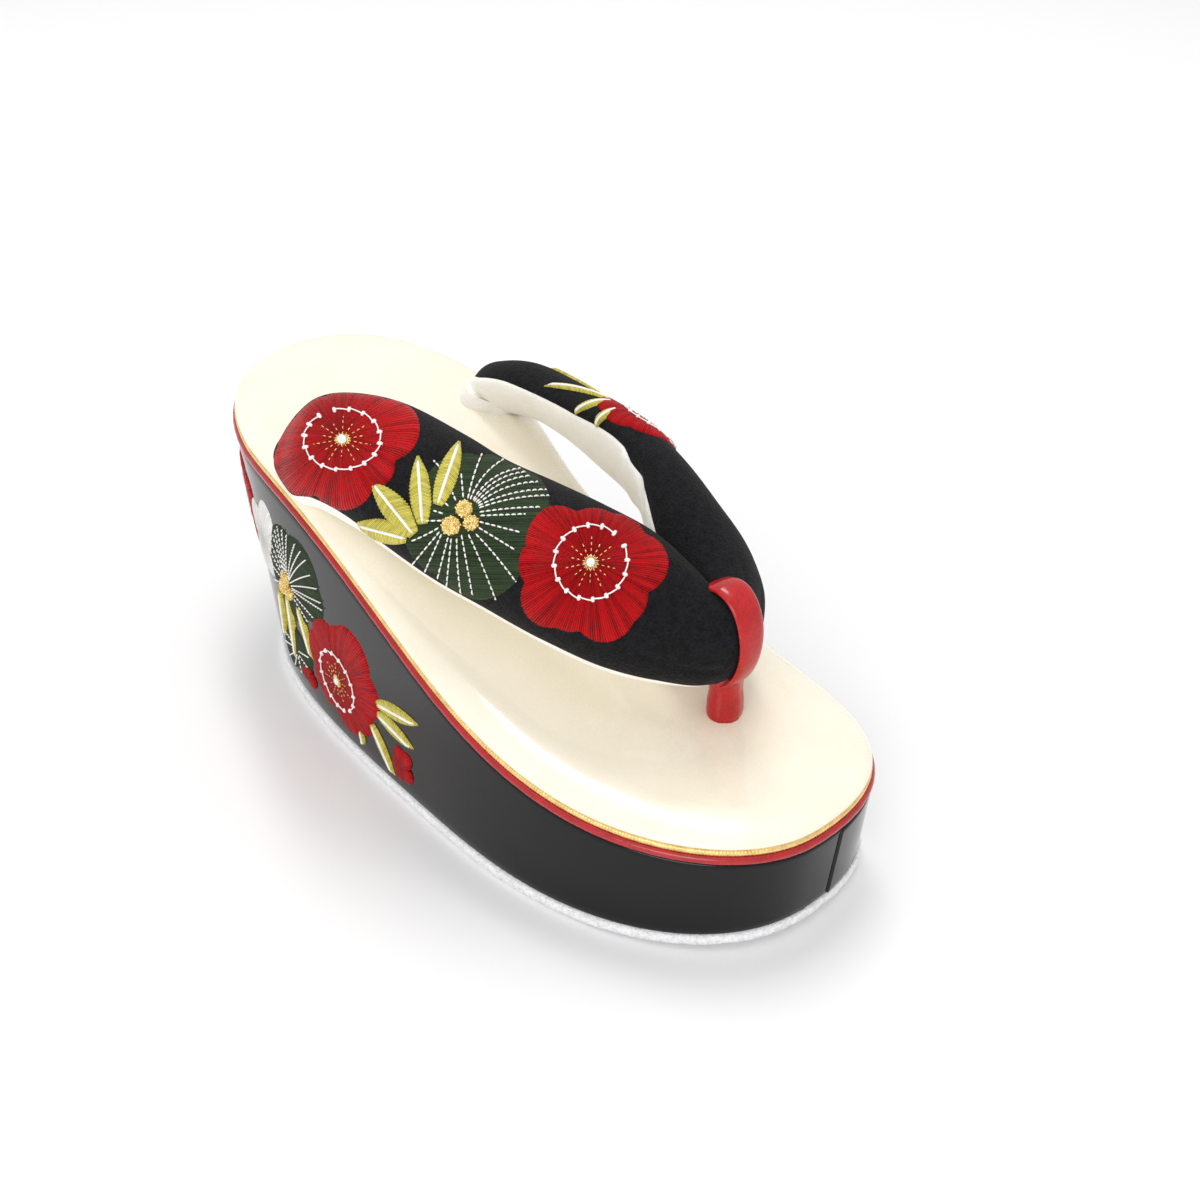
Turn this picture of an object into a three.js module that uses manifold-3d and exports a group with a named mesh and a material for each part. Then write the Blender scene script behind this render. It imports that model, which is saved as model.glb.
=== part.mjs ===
// A thick-soled dress zori for the right foot.
// Millimetres. +X points to the toe, +Y to the inner side of the foot, +Z up.
// The origin is under the middle of the shoe, on the plane it stands on.
import * as THREE from 'three';
import { mergeVertices } from 'three/addons/utils/BufferGeometryUtils.js';
import Module from 'manifold-3d';

const wasm = await Module();
wasm.setup();

// Clearance between pieces that meet.
const GAP = 0.3;
const STRAP_SEAT = 0.55;

// Outline of the sole at its top edge.
const LENGTH = 240;
const TOE_X = LENGTH / 2;
const HEEL_X = -LENGTH / 2;
const HALF_WIDTH = 47;
const TOE_BEND = 6;
const HEEL_BEND = 5;
const WAIST = { depth: 13, x: -2, reach: 42 };
const HEEL_FULL = 4.4;
const HEEL_ROUND = 2.25;

// widest: where the side is broadest. toeFull and toeRound shape it from there to the toe.
const SIDES = {
  outer: { sign: -1, widest: 18, toeFull: 2.5, toeRound: 2.1, waist: 0 },
  inner: { sign: 1, widest: 51, toeFull: 3.8, toeRound: 2.15, waist: WAIST.depth },
};

// The same outline drawn smaller where the wall meets the outsole. shift moves the widest place forward.
const TOP_FORM = { heel: HEEL_X, toe: TOE_X, outer: HALF_WIDTH, inner: HALF_WIDTH, shift: 0 };
const BASE_FORM = {
  heel: HEEL_X + 17.5,
  toe: TOE_X - 3,
  outer: HALF_WIDTH - 1,
  inner: HALF_WIDTH - 3,
  shift: 10,
};

// Height of the wall's top edge along the sole.
const EDGE = {
  toe: 29.6,
  heel: 73.3,
  riseStart: 119,
  riseEnd: -73,
  bias: 1.12,
  heelLift: 5.5,
  liftLength: 60,
};

// Underside: flat from the heel to the forefoot, then a slight toe spring.
const SPRING = { height: 3.2, from: 60, length: 60 };
const OUTSOLE_THICK = 3;
const OUTSOLE_LIP = 0.8;
const OUTSOLE_CHAMFER = 0.5;

// Wall of the wedge.
const WALL_INSET = 0.6;
const WALL_LEVELS = 6;
const WALL_ROUND = 0.9;
const WALL_CROWN = 0.1;

// Two cords round the top edge.
const RED = { radius: 1.35, inset: 1.35, rise: 1.4 };
const GOLD = { radius: 1.25, inset: 2.2, rise: 4.4 };
const CORD_SIDES = 8;

// Padded footbed: one row for each ring, from its underside up over the rim.
const FOOTBED_RINGS = [
  { inset: 3.9, rise: -0.1 },
  { inset: 3.9, rise: 4.5 },
  { inset: 3.1, rise: 5.9 },
  { inset: 2.1, rise: 6.2 },
  { inset: 1.8, rise: 6.8 },
  { inset: 2.5, rise: 7.6 },
  { inset: 4.5, rise: 8.2 },
  { inset: 9, rise: 8.5 },
];
const FOOTBED_TOP = FOOTBED_RINGS[FOOTBED_RINGS.length - 1].rise;

// Points along each side of an outline.
const SIDE_STEPS = 38;

// Straps: one row for each section, from the footbed at the heel end to the joint in front.
// low and top are the section's two edges.
// out and under are its padding above and below the line between them.
const FOOT_ROW_Z = null;
const OUTER_STRAP = [
  { low: [-41, -34.5, FOOT_ROW_Z], top: [-57, -30.5, FOOT_ROW_Z], out: 6, under: 7 },
  { low: [-39, -44, 81.5], top: [-53.5, -27.5, 86], out: 8.7, under: 7 },
  { low: [-36, -45.5, 78], top: [-50.5, -26.5, 95.5], out: 8, under: 7 },
  { low: [-24, -44, 79.5], top: [-37, -22, 100.5], out: 15.8, under: 8 },
  { low: [-12, -41, 78], top: [-20, -16, 102.5], out: 19, under: 9 },
  { low: [0, -37, 74], top: [0, -12, 101], out: 19, under: 9 },
  { low: [13, -32, 69], top: [13, -8, 97.5], out: 19, under: 9 },
  { low: [28, -25, 64], top: [26, -2, 94.5], out: 18.5, under: 9 },
  { low: [42, -19, 60], top: [40, 3, 92], out: 18, under: 9 },
  { low: [55, -11, 55.5], top: [52, 9, 87.5], out: 16.5, under: 8 },
  { low: [65, -2, 53], top: [63.5, 12, 82], out: 13, under: 7 },
  { low: [72, 7, 52.3], top: [73, 12, 79], out: 9.5, under: 7.5 },
  { low: [72.2, 15, 52.2], top: [75.8, 15, 78.2], out: 8.5, under: 8.5 },
];
const INNER_STRAP = [
  { low: [-40, 31, FOOT_ROW_Z], top: [-57, 30, FOOT_ROW_Z], out: 6, under: 6 },
  { low: [-38, 34, 82.5], top: [-55, 29, 86], out: 7, under: 6 },
  { low: [-33, 38, 81.5], top: [-48, 26, 90], out: 9, under: 5.5 },
  { low: [-25, 41, 80], top: [-37, 26, 93.5], out: 10, under: 5 },
  { low: [-14, 42, 77], top: [-21, 28, 95], out: 10, under: 5 },
  { low: [-1, 41, 73], top: [-4, 30, 95.5], out: 10, under: 5 },
  { low: [13, 40, 70], top: [13, 31, 95], out: 10, under: 5.5 },
  { low: [27, 38, 67], top: [29, 29, 92.5], out: 10, under: 7.5 },
  { low: [41, 36, 63.5], top: [44, 26, 87.5], out: 10, under: 12.5 },
  { low: [54, 34, 60.5], top: [56, 23, 82.5], out: 10, under: 16 },
  { low: [65, 29, 56], top: [66, 19, 79.5], out: 9.5, under: 13.5 },
  { low: [71.5, 21, 52.3], top: [73, 17, 78.7], out: 7.5, under: 9.5 },
  { low: [72.2, 13, 52.2], top: [75.8, 13, 78.2], out: 8.5, under: 8.5 },
];
const STRAP_STEPS = 36;
const STRAP_SIDES = 16;
const STRAP_POWER = 2.15;
const STRAP_PROBE = 0.01;

// Thong: a leather band round the joint, and its stem.
const LOOP = { x: 74.2, y: 14.3, z: 65.2, lean: -0.14, high: 14, deep: 9.1, thick: 1.6 };
const LOOP_HALF_WIDTH = { top: 4.5, bottom: 3.3 };
const LOOP_STEPS = 40;
const LOOP_EDGE = 0.5;
const STEM = { x: 75, y: 15.5, top: 51.5, sides: 20 };
const STEM_RINGS = [
  { at: 0, radius: 5.6 },
  { at: 0.15, radius: 5.7 },
  { at: 0.6, radius: 5.1 },
  { at: 1, radius: 5.6 },
];

// Quintic ease from 0 to 1.
function ease(u) {
  const t = THREE.MathUtils.clamp(u, 0, 1);
  return t * t * t * (t * (6 * t - 15) + 10);
}

function edgeHeight(x) {
  const run = (EDGE.riseStart - x) / (EDGE.riseStart - EDGE.riseEnd);
  const climb = ease(Math.pow(THREE.MathUtils.clamp(run, 0, 1), EDGE.bias));
  const lift = EDGE.heelLift * Math.max(0, EDGE.riseEnd - x) / EDGE.liftLength;
  return EDGE.toe + (EDGE.heel - EDGE.toe) * climb + lift;
}

function springHeight(x) {
  const run = Math.max(0, x - SPRING.from) / SPRING.length;
  return SPRING.height * run * run;
}

function footTop(x) {
  return edgeHeight(x) + FOOTBED_TOP;
}

// Sideways place of one side of an outline at a given x.
function sideY(form, name, x) {
  const side = SIDES[name];
  const widest = side.widest + form.shift;
  const ahead = x > widest;
  const run = ahead ? (x - widest) / (form.toe - widest) : (widest - x) / (widest - form.heel);
  const full = ahead ? side.toeFull : HEEL_FULL;
  const round = ahead ? side.toeRound : HEEL_ROUND;
  const left = Math.max(0, 1 - Math.pow(THREE.MathUtils.clamp(run, 0, 1), full));
  const half = form[name] * Math.pow(left, 1 / round);
  const bend = (x > 0 ? TOE_BEND : HEEL_BEND) * Math.pow(x / TOE_X, 2);
  const away = (x - WAIST.x) / WAIST.reach;
  const pinch = side.waist * Math.exp(-away * away) * Math.min(1, half / HALF_WIDTH);
  return bend + side.sign * (half - pinch);
}

// Closed outline: toe tip, outer side, heel tip, inner side.
function outline(form) {
  const points = [];
  for (let k = 0; k < 2 * SIDE_STEPS; k += 1) {
    const turn = Math.cos(Math.PI * k / SIDE_STEPS);
    const x = (form.toe + form.heel) / 2 + (form.toe - form.heel) / 2 * turn;
    points.push(new THREE.Vector2(x, sideY(form, k <= SIDE_STEPS ? 'outer' : 'inner', x)));
  }
  return points;
}

// Unit normals that point out of a closed outline.
function outward(points) {
  const count = points.length;
  return points.map((point, k) => {
    const along = points[(k + 1) % count].clone().sub(points[(k + count - 1) % count]).normalize();
    return new THREE.Vector2(along.y, -along.x).multiplyScalar(-1);
  });
}

function inset(points, distance) {
  const normals = outward(points);
  return points.map((point, k) => point.clone().addScaledVector(normals[k], -distance));
}

function raise(points, height) {
  return points.map((point) => new THREE.Vector3(point.x, point.y, height(point.x)));
}

// Turn rings of points into one closed geometry. Caps: strip, fan or none (rings close on the first).
function loft(rings, cap) {
  const count = rings[0].length;
  const positions = [];
  rings.forEach((ring) => ring.forEach((point) => positions.push(point.x, point.y, point.z)));
  const index = [];
  const joins = cap === 'none' ? rings.length : rings.length - 1;
  for (let r = 0; r < joins; r += 1) {
    const here = r * count;
    const next = ((r + 1) % rings.length) * count;
    for (let k = 0; k < count; k += 1) {
      const after = (k + 1) % count;
      index.push(here + k, here + after, next + after);
      index.push(here + k, next + after, next + k);
    }
  }
  const last = (rings.length - 1) * count;
  if (cap === 'strip') {
    const half = count / 2;
    for (let k = 0; k < half; k += 1) {
      const across = (count - k) % count;
      const beyond = count - k - 1;
      [[0, false], [last, true]].forEach(([base, top]) => {
        const faces = [[k, beyond, k + 1], [k, across, beyond]];
        faces.filter((face) => new Set(face).size === 3).forEach(([a, b, c]) => {
          index.push(base + a, base + (top ? c : b), base + (top ? b : c));
        });
      });
    }
  }
  if (cap === 'fan') {
    [[0, false], [last, true]].forEach(([base, top]) => {
      for (let k = 1; k < count - 1; k += 1) {
        index.push(base, base + (top ? k : k + 1), base + (top ? k + 1 : k));
      }
    });
  }
  const geometry = new THREE.BufferGeometry();
  geometry.setAttribute('position', new THREE.Float32BufferAttribute(positions, 3));
  geometry.setIndex(index);
  return facingOut(geometry);
}

// Flip every triangle when the enclosed volume comes out negative.
function facingOut(geometry) {
  const position = geometry.getAttribute('position');
  const index = geometry.getIndex();
  const corner = [new THREE.Vector3(), new THREE.Vector3(), new THREE.Vector3()];
  let volume = 0;
  for (let k = 0; k < index.count; k += 3) {
    corner.forEach((point, c) => point.fromBufferAttribute(position, index.getX(k + c)));
    volume += corner[0].dot(corner[1].clone().cross(corner[2]));
  }
  if (volume < 0) {
    for (let k = 0; k < index.count; k += 3) {
      const second = index.getX(k + 1);
      index.setX(k + 1, index.getX(k + 2));
      index.setX(k + 2, second);
    }
  }
  return geometry;
}

function solidOf(geometry) {
  const bare = new THREE.BufferGeometry();
  bare.setAttribute('position', geometry.getAttribute('position'));
  bare.setIndex(geometry.getIndex());
  const merged = mergeVertices(bare, 1e-4);
  return new wasm.Manifold(new wasm.Mesh({
    numProp: 3,
    vertProperties: new Float32Array(merged.getAttribute('position').array),
    triVerts: new Uint32Array(merged.getIndex().array),
  }));
}

function geometryOf(solid) {
  const mesh = solid.getMesh();
  const geometry = new THREE.BufferGeometry();
  geometry.setAttribute('position', new THREE.Float32BufferAttribute(mesh.vertProperties, 3));
  geometry.setIndex(new THREE.Uint32BufferAttribute(mesh.triVerts, 1));
  return geometry;
}

function outsoleGeometry() {
  const lip = inset(outline(BASE_FORM), -OUTSOLE_LIP);
  const foot = inset(outline(BASE_FORM), OUTSOLE_CHAMFER - OUTSOLE_LIP);
  return loft([
    raise(foot, springHeight),
    raise(lip, (x) => springHeight(x) + OUTSOLE_CHAMFER),
    raise(lip, (x) => springHeight(x) + OUTSOLE_THICK),
  ], 'strip');
}

// The wall runs straight from the base outline to the top outline.
function wedgeGeometry() {
  const base = raise(outline(BASE_FORM), (x) => springHeight(x) + OUTSOLE_THICK + GAP);
  const rim = raise(inset(outline(TOP_FORM), WALL_INSET), (x) => edgeHeight(x) - GAP - WALL_ROUND);
  const crownLine = inset(outline(TOP_FORM), WALL_INSET + WALL_ROUND);
  const crown = raise(crownLine, (x) => edgeHeight(x) - GAP - WALL_CROWN);
  const rings = [];
  for (let level = 0; level <= WALL_LEVELS; level += 1) {
    rings.push(base.map((point, k) => point.clone().lerp(rim[k], level / WALL_LEVELS)));
  }
  rings.push(crown);
  return loft(rings, 'strip');
}

// A round cord that follows the top edge all the way round.
function cordGeometry(cord) {
  const centre = raise(inset(outline(TOP_FORM), cord.inset), (x) => edgeHeight(x) + cord.rise);
  const normals = outward(outline(TOP_FORM));
  const rings = centre.map((point, k) => {
    const ahead = centre[(k + 1) % centre.length];
    const behind = centre[(k + centre.length - 1) % centre.length];
    const along = ahead.clone().sub(behind).normalize();
    const out = new THREE.Vector3(normals[k].x, normals[k].y, 0);
    const up = along.clone().cross(out).normalize();
    const ring = [];
    for (let s = 0; s < CORD_SIDES; s += 1) {
      const angle = 2 * Math.PI * (s + 0.5) / CORD_SIDES;
      const place = point.clone().addScaledVector(out, cord.radius * Math.cos(angle));
      ring.push(place.addScaledVector(up, cord.radius * Math.sin(angle)));
    }
    return ring;
  });
  return loft(rings, 'none');
}

function footbedGeometry() {
  const top = outline(TOP_FORM);
  const rings = FOOTBED_RINGS.map((row) => raise(inset(top, row.inset), (x) => edgeHeight(x) + row.rise));
  return loft(rings, 'strip');
}

// One padded strap, lofted through its table of sections.
function strapGeometry(rows, side) {
  const rail = (name) => new THREE.CatmullRomCurve3(rows.map((row) => {
    const [x, y, z] = row[name];
    return new THREE.Vector3(x, y, z === FOOT_ROW_Z ? footTop(x) + STRAP_SEAT : z);
  }));
  const low = rail('low');
  const top = rail('top');
  const middle = (t) => low.getPoint(t).add(top.getPoint(t)).multiplyScalar(0.5);
  const rings = [];
  for (let step = 0; step <= STRAP_STEPS; step += 1) {
    const t = step / STRAP_STEPS;
    const place = t * (rows.length - 1);
    const row = Math.min(rows.length - 2, Math.floor(place));
    const padding = (name) => THREE.MathUtils.lerp(rows[row][name], rows[row + 1][name], place - row);
    const across = top.getPoint(t).sub(low.getPoint(t)).multiplyScalar(0.5);
    const along = middle(Math.min(1, t + STRAP_PROBE)).sub(middle(Math.max(0, t - STRAP_PROBE)));
    if (step === 0) {
      along.set(0, 0, 1);
    }
    const out = along.clone().cross(across).normalize().multiplyScalar(-side);
    const ring = [];
    for (let s = 0; s < STRAP_SIDES; s += 1) {
      const angle = 2 * Math.PI * s / STRAP_SIDES;
      const round = (value) => Math.sign(value) * Math.pow(Math.abs(value), 2 / STRAP_POWER);
      const depth = round(Math.sin(angle)) * padding(Math.sin(angle) < 0 ? 'under' : 'out');
      const point = middle(t).addScaledVector(across, round(Math.cos(angle))).addScaledVector(out, depth);
      ring.push(point.setZ(Math.max(point.z, footTop(point.x) + STRAP_SEAT)));
    }
    rings.push(ring);
  }
  return loft(rings, 'fan');
}

// Section of the band, as growth outward and place across, with its edges broken.
function bandSection(wide, margin) {
  const edge = LOOP_EDGE;
  const face = LOOP.thick + margin;
  return [
    [-margin, -wide + edge],
    [-margin, wide - edge],
    [-margin + edge, wide],
    [face - edge, wide],
    [face, wide - edge],
    [face, -wide + edge],
    [face - edge, -wide],
    [-margin + edge, -wide],
  ];
}

// The band round the joint, grown by a margin on every face when it is used as a cutter.
function loopGeometry(margin) {
  const up = new THREE.Vector3(-LOOP.lean, 0, 1).normalize();
  const out = new THREE.Vector3(1, 0, LOOP.lean).normalize();
  const centre = new THREE.Vector3(LOOP.x, LOOP.y, LOOP.z);
  const rings = [];
  for (let step = 0; step < LOOP_STEPS; step += 1) {
    const angle = 2 * Math.PI * step / LOOP_STEPS;
    const share = (1 + Math.cos(angle)) / 2;
    const wide = THREE.MathUtils.lerp(LOOP_HALF_WIDTH.bottom, LOOP_HALF_WIDTH.top, share) + margin;
    rings.push(bandSection(wide, margin).map(([grow, y]) => {
      const point = centre.clone().addScaledVector(up, (LOOP.high + grow) * Math.cos(angle));
      point.addScaledVector(out, (LOOP.deep + grow) * Math.sin(angle));
      point.y += y;
      return point;
    }));
  }
  return loft(rings, 'none');
}

function stemGeometry() {
  const foot = footTop(STEM.x) + GAP;
  const rings = STEM_RINGS.map((row) => {
    const ring = [];
    for (let s = 0; s < STEM.sides; s += 1) {
      const angle = 2 * Math.PI * s / STEM.sides;
      const x = STEM.x + row.radius * Math.cos(angle);
      const level = row.at === 0 ? footTop(x) + GAP : THREE.MathUtils.lerp(foot, STEM.top, row.at);
      ring.push(new THREE.Vector3(x, STEM.y + row.radius * Math.sin(angle), level));
    }
    return ring;
  });
  return loft(rings, 'fan');
}

function strapsGeometry() {
  const outer = solidOf(strapGeometry(OUTER_STRAP, SIDES.outer.sign));
  const inner = solidOf(strapGeometry(INNER_STRAP, SIDES.inner.sign));
  const slot = solidOf(loopGeometry(GAP));
  return geometryOf(outer.add(inner).subtract(slot));
}

function thongGeometry() {
  return geometryOf(solidOf(loopGeometry(0)).add(solidOf(stemGeometry())));
}

const shoe = new THREE.Group();

function addPiece(name, geometry, color, roughness, metalness = 0) {
  const piece = new THREE.Mesh(geometry, new THREE.MeshStandardMaterial({ color, roughness, metalness }));
  piece.name = name;
  shoe.add(piece);
}

addPiece('outsole', outsoleGeometry(), 0xb8b8ba, 0.9);
addPiece('wedge', wedgeGeometry(), 0x17171a, 0.15);
addPiece('red_piping', cordGeometry(RED), 0xb02329, 0.3);
addPiece('gold_piping', cordGeometry(GOLD), 0xc9a05a, 0.35, 0.6);
addPiece('footbed', footbedGeometry(), 0xf3ead6, 0.4);
addPiece('straps', strapsGeometry(), 0x1c1c1e, 0.95);
addPiece('thong', thongGeometry(), 0xb32226, 0.3);

export default shoe;
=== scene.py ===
"""Dresses the right zori: sole, pipings, padded footbed, embroidered straps and thong.

Lengths are in millimetres until a mesh is made. +X is the toe, -Y the outer side, +Z up.
"""

import math

import bmesh
import bpy
import numpy as np
from mathutils import Matrix, Vector
from mathutils.bvhtree import BVHTree


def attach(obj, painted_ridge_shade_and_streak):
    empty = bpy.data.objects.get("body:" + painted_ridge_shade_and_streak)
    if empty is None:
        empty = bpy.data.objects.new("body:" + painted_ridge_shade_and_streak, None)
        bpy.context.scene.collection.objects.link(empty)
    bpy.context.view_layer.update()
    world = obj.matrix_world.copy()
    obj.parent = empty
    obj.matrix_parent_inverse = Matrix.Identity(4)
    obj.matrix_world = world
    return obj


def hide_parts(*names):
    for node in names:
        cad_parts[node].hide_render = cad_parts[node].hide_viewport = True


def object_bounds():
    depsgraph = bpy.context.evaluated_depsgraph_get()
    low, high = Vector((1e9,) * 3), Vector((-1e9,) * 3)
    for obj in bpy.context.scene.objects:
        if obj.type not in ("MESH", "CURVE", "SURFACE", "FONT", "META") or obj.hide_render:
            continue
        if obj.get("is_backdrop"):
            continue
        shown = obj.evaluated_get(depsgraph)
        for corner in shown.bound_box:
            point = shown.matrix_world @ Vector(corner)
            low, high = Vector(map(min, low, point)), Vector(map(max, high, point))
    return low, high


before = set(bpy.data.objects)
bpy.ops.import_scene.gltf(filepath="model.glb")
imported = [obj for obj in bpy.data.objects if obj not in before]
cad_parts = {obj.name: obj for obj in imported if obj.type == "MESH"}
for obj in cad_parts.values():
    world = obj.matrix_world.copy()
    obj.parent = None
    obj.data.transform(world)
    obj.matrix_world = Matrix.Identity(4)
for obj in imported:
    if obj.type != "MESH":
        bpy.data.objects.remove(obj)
cad_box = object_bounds()

MM = 0.001

# Sole

LENGTH = 240
TOE_X = LENGTH / 2
HEEL_X = -LENGTH / 2
HALF_WIDTH = 47
TOE_BEND = 6
HEEL_BEND = 5
WAIST = {"depth": 13, "x": -2, "reach": 42}
HEEL_FULL = 4.4
HEEL_ROUND = 2.25
SIDES = {
    "outer": {"sign": -1, "widest": 18, "toe_full": 2.5, "toe_round": 2.1, "waist": 0},
    "inner": {"sign": 1, "widest": 51, "toe_full": 3.8, "toe_round": 2.15, "waist": WAIST["depth"]},
}
TOP_FORM = {"heel": HEEL_X, "toe": TOE_X, "outer": HALF_WIDTH, "inner": HALF_WIDTH, "shift": 0}
BASE_FORM = {"heel": HEEL_X + 17.5, "toe": TOE_X - 3, "outer": HALF_WIDTH - 1,
             "inner": HALF_WIDTH - 3, "shift": 10}
EDGE = {"toe": 29.6, "heel": 73.3, "rise_start": 119, "rise_end": -73, "bias": 1.12,
        "heel_lift": 5.5, "lift_length": 60}
SPRING = {"height": 3.2, "from": 60, "length": 60}
GAP = 0.3
OUTSOLE_THICK = 3
WALL_INSET = 0.6
FOOTBED_TOP = 8.5
SPINE_END = 46
BASE_MIDDLE = np.array([7.0, 0.0])
TOP_MIDDLE = np.array([0.0, 2.0])
TINY = 1e-9


def ease(share):
    """Smooth climb from 0 to 1."""
    t = np.clip(share, 0, 1)
    return t * t * t * (t * (6 * t - 15) + 10)


def bell(away, reach):
    """Bell curve of a distance: 1 at none, fading over a reach."""
    return np.exp(-((away / reach) ** 2))


def signed_power(value, power):
    """A power of the size of a value, with the value's sign."""
    return np.sign(value) * np.abs(value) ** power


def edge_height(x):
    """Height of the wedge's top edge."""
    run = (EDGE["rise_start"] - x) / (EDGE["rise_start"] - EDGE["rise_end"])
    climb = ease(np.clip(run, 0, 1) ** EDGE["bias"])
    lift = EDGE["heel_lift"] * np.maximum(0, EDGE["rise_end"] - x) / EDGE["lift_length"]
    return EDGE["toe"] + (EDGE["heel"] - EDGE["toe"]) * climb + lift


def spring_height(x):
    """Height of the sole's underside, which lifts a little at the toe."""
    return SPRING["height"] * (np.maximum(0, x - SPRING["from"]) / SPRING["length"]) ** 2


def wedge_bottom(x):
    """Height of the wedge's underside, just above the outsole."""
    return spring_height(x) + OUTSOLE_THICK + GAP / 2


def foot_top(x):
    """Height of the footbed's top."""
    return edge_height(x) + FOOTBED_TOP


def inset(form, depth):
    """The same outline drawn in by a depth all round."""
    return {"heel": form["heel"] + depth, "toe": form["toe"] - depth, "outer": form["outer"] - depth,
            "inner": form["inner"] - depth, "shift": form["shift"]}


def spine_y(x):
    """Y of the sole's middle line, which bends to the inner side at both ends."""
    return np.where(x > 0, TOE_BEND, HEEL_BEND) * (x / TOE_X) ** 2


def side_y(form, name, x):
    """Y of one side of an outline."""
    side = SIDES[name]
    widest = side["widest"] + form["shift"]
    ahead = x > widest
    run = np.where(ahead, (x - widest) / (form["toe"] - widest), (widest - x) / (widest - form["heel"]))
    full = np.where(ahead, side["toe_full"], HEEL_FULL)
    rounding = np.where(ahead, side["toe_round"], HEEL_ROUND)
    half = form[name] * np.maximum(0, 1 - np.clip(run, 0, 1) ** full) ** (1 / rounding)
    pinch = side["waist"] * bell(x - WAIST["x"], WAIST["reach"])
    return spine_y(x) + side["sign"] * (half - pinch * np.minimum(1, half / HALF_WIDTH))


def outline(form, turn):
    """Points at turns 0 to 2: toe tip, outer side, heel tip at 1, inner side."""
    middle = (form["toe"] + form["heel"]) / 2
    x = middle + (form["toe"] - form["heel"]) / 2 * np.cos(np.pi * turn)
    y = np.where(turn <= 1, side_y(form, "outer", x), side_y(form, "inner", x))
    return np.stack([x, y], axis=-1)


def toward_spine(points, share):
    """Outline points moved a share of the way to the middle line of the sole."""
    x = np.clip(points[:, 0], HEEL_X + SPINE_END, TOE_X - SPINE_END)
    spine = np.stack([x, spine_y(x)], axis=-1)
    return points + (spine - points) * share


# Mesh making


def round_angles(count):
    """Evenly spaced angles of a full turn."""
    return np.arange(count) * 2 * np.pi / count


def spokes(angle):
    """Directions in a plane at some angles."""
    return np.stack([np.cos(angle), np.sin(angle)], axis=-1)


def unit(rows, guard=0.0):
    """Rows scaled to length one."""
    return rows / (np.linalg.norm(rows, axis=-1, keepdims=True) + guard)


def run_along(path):
    """Distance from the start of a path to each of its points."""
    return np.concatenate([[0], np.cumsum(np.linalg.norm(np.diff(path, axis=0), axis=1))])


def round_rings(path, side, up, radius, angle):
    """Rings of points round a path, in the plane of its side and up directions."""
    rings = path[:, None] + side[:, None] * (radius * np.cos(angle))[..., None]
    return rings + up[:, None] * (radius * np.sin(angle))[..., None]


def walk(path, run, place):
    """Points of a path at some distances along it."""
    return np.stack([np.interp(place, run, column) for column in path.T], axis=-1)


def grid_faces(rows, cols, closed=False):
    """Quads between rows of points, each row closing on itself, and the last on the first if closed."""
    row, col = np.meshgrid(np.arange(rows if closed else rows - 1), np.arange(cols), indexing="ij")
    after, below = (col + 1) % cols, (row + 1) % rows
    quads = np.stack([row * cols + col, row * cols + after, below * cols + after, below * cols + col],
                     axis=-1)
    return quads.reshape(-1, 4).tolist()


def cap_faces(rows, cols):
    """Flat ends on the first and the last of some rows."""
    return [list(range(cols))[::-1], list(range((rows - 1) * cols, rows * cols))]


def pole_faces(rings, turns):
    """Fans from a top and a bottom pole to the first and the last of some rings."""
    top, bottom, last = rings * turns, rings * turns + 1, (rings - 1) * turns
    faces = []
    for turn in range(turns):
        after = (turn + 1) % turns
        faces += [[top, after, turn], [bottom, last + turn, last + after]]
    return faces


def scene_object(name, content):
    """A new object in the scene."""
    item = bpy.data.objects.new(name, content)
    bpy.context.scene.collection.objects.link(item)
    return item


class Bits:
    """Points and faces gathered for one mesh, with a thread place for each face corner."""

    def __init__(self):
        self.points = []
        self.faces = []
        self.threads = []
        self.count = 0

    def add(self, points, faces, threads=None):
        points = np.asarray(points, float).reshape(-1, 3)
        self.points.append(points)
        self.faces += [[corner + self.count for corner in face] for face in faces]
        self.count += len(points)
        if threads is not None:
            self.threads += threads

    def rings(self, rings, capped=True):
        """A skin over rings of points; where it is not capped, the end rings close on themselves."""
        rows, cols = np.shape(rings)[:2]
        caps = cap_faces(rows, cols) if capped else []
        self.add(rings, grid_faces(rows, cols) + caps)

    def tube(self, rings):
        """A skin over rings of points, the last of which joins the first."""
        rows, cols = np.shape(rings)[:2]
        self.add(rings, grid_faces(rows, cols, closed=True))

    def piece(self, name, finish, slot=None, replaced=None, merge=0.0):
        """The mesh as a piece of the zori."""
        mesh = bpy.data.meshes.new(name)
        mesh.from_pydata((np.vstack(self.points) * MM).tolist(), [], self.faces)
        if self.threads:
            layer = mesh.uv_layers.new(name="Threads")
            layer.data.foreach_set("uv", np.array(self.threads, float).ravel())
        work = bmesh.new()
        work.from_mesh(mesh)
        if merge:
            bmesh.ops.remove_doubles(work, verts=work.verts, dist=merge * MM)
        bmesh.ops.recalc_face_normals(work, faces=work.faces)
        work.to_mesh(mesh)
        work.free()
        mesh.shade_smooth()
        mesh.materials.append(finish)
        piece = scene_object(name, mesh)
        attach(piece, "root")
        if replaced:
            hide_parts(replaced)
        return piece


# Finishes


def linear(red, green, blue):
    """A colour written in 0 to 255 screen values, as the shader wants it."""
    turn = lambda v: v / 12.92 if v <= 0.04045 else ((v + 0.055) / 1.055) ** 2.4
    return tuple(turn(c / 255) for c in (red, green, blue)) + (1.0,)


MIX_INPUTS = (0, 6, 7)  # share and the two colours
MIX_RESULT = 2


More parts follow.
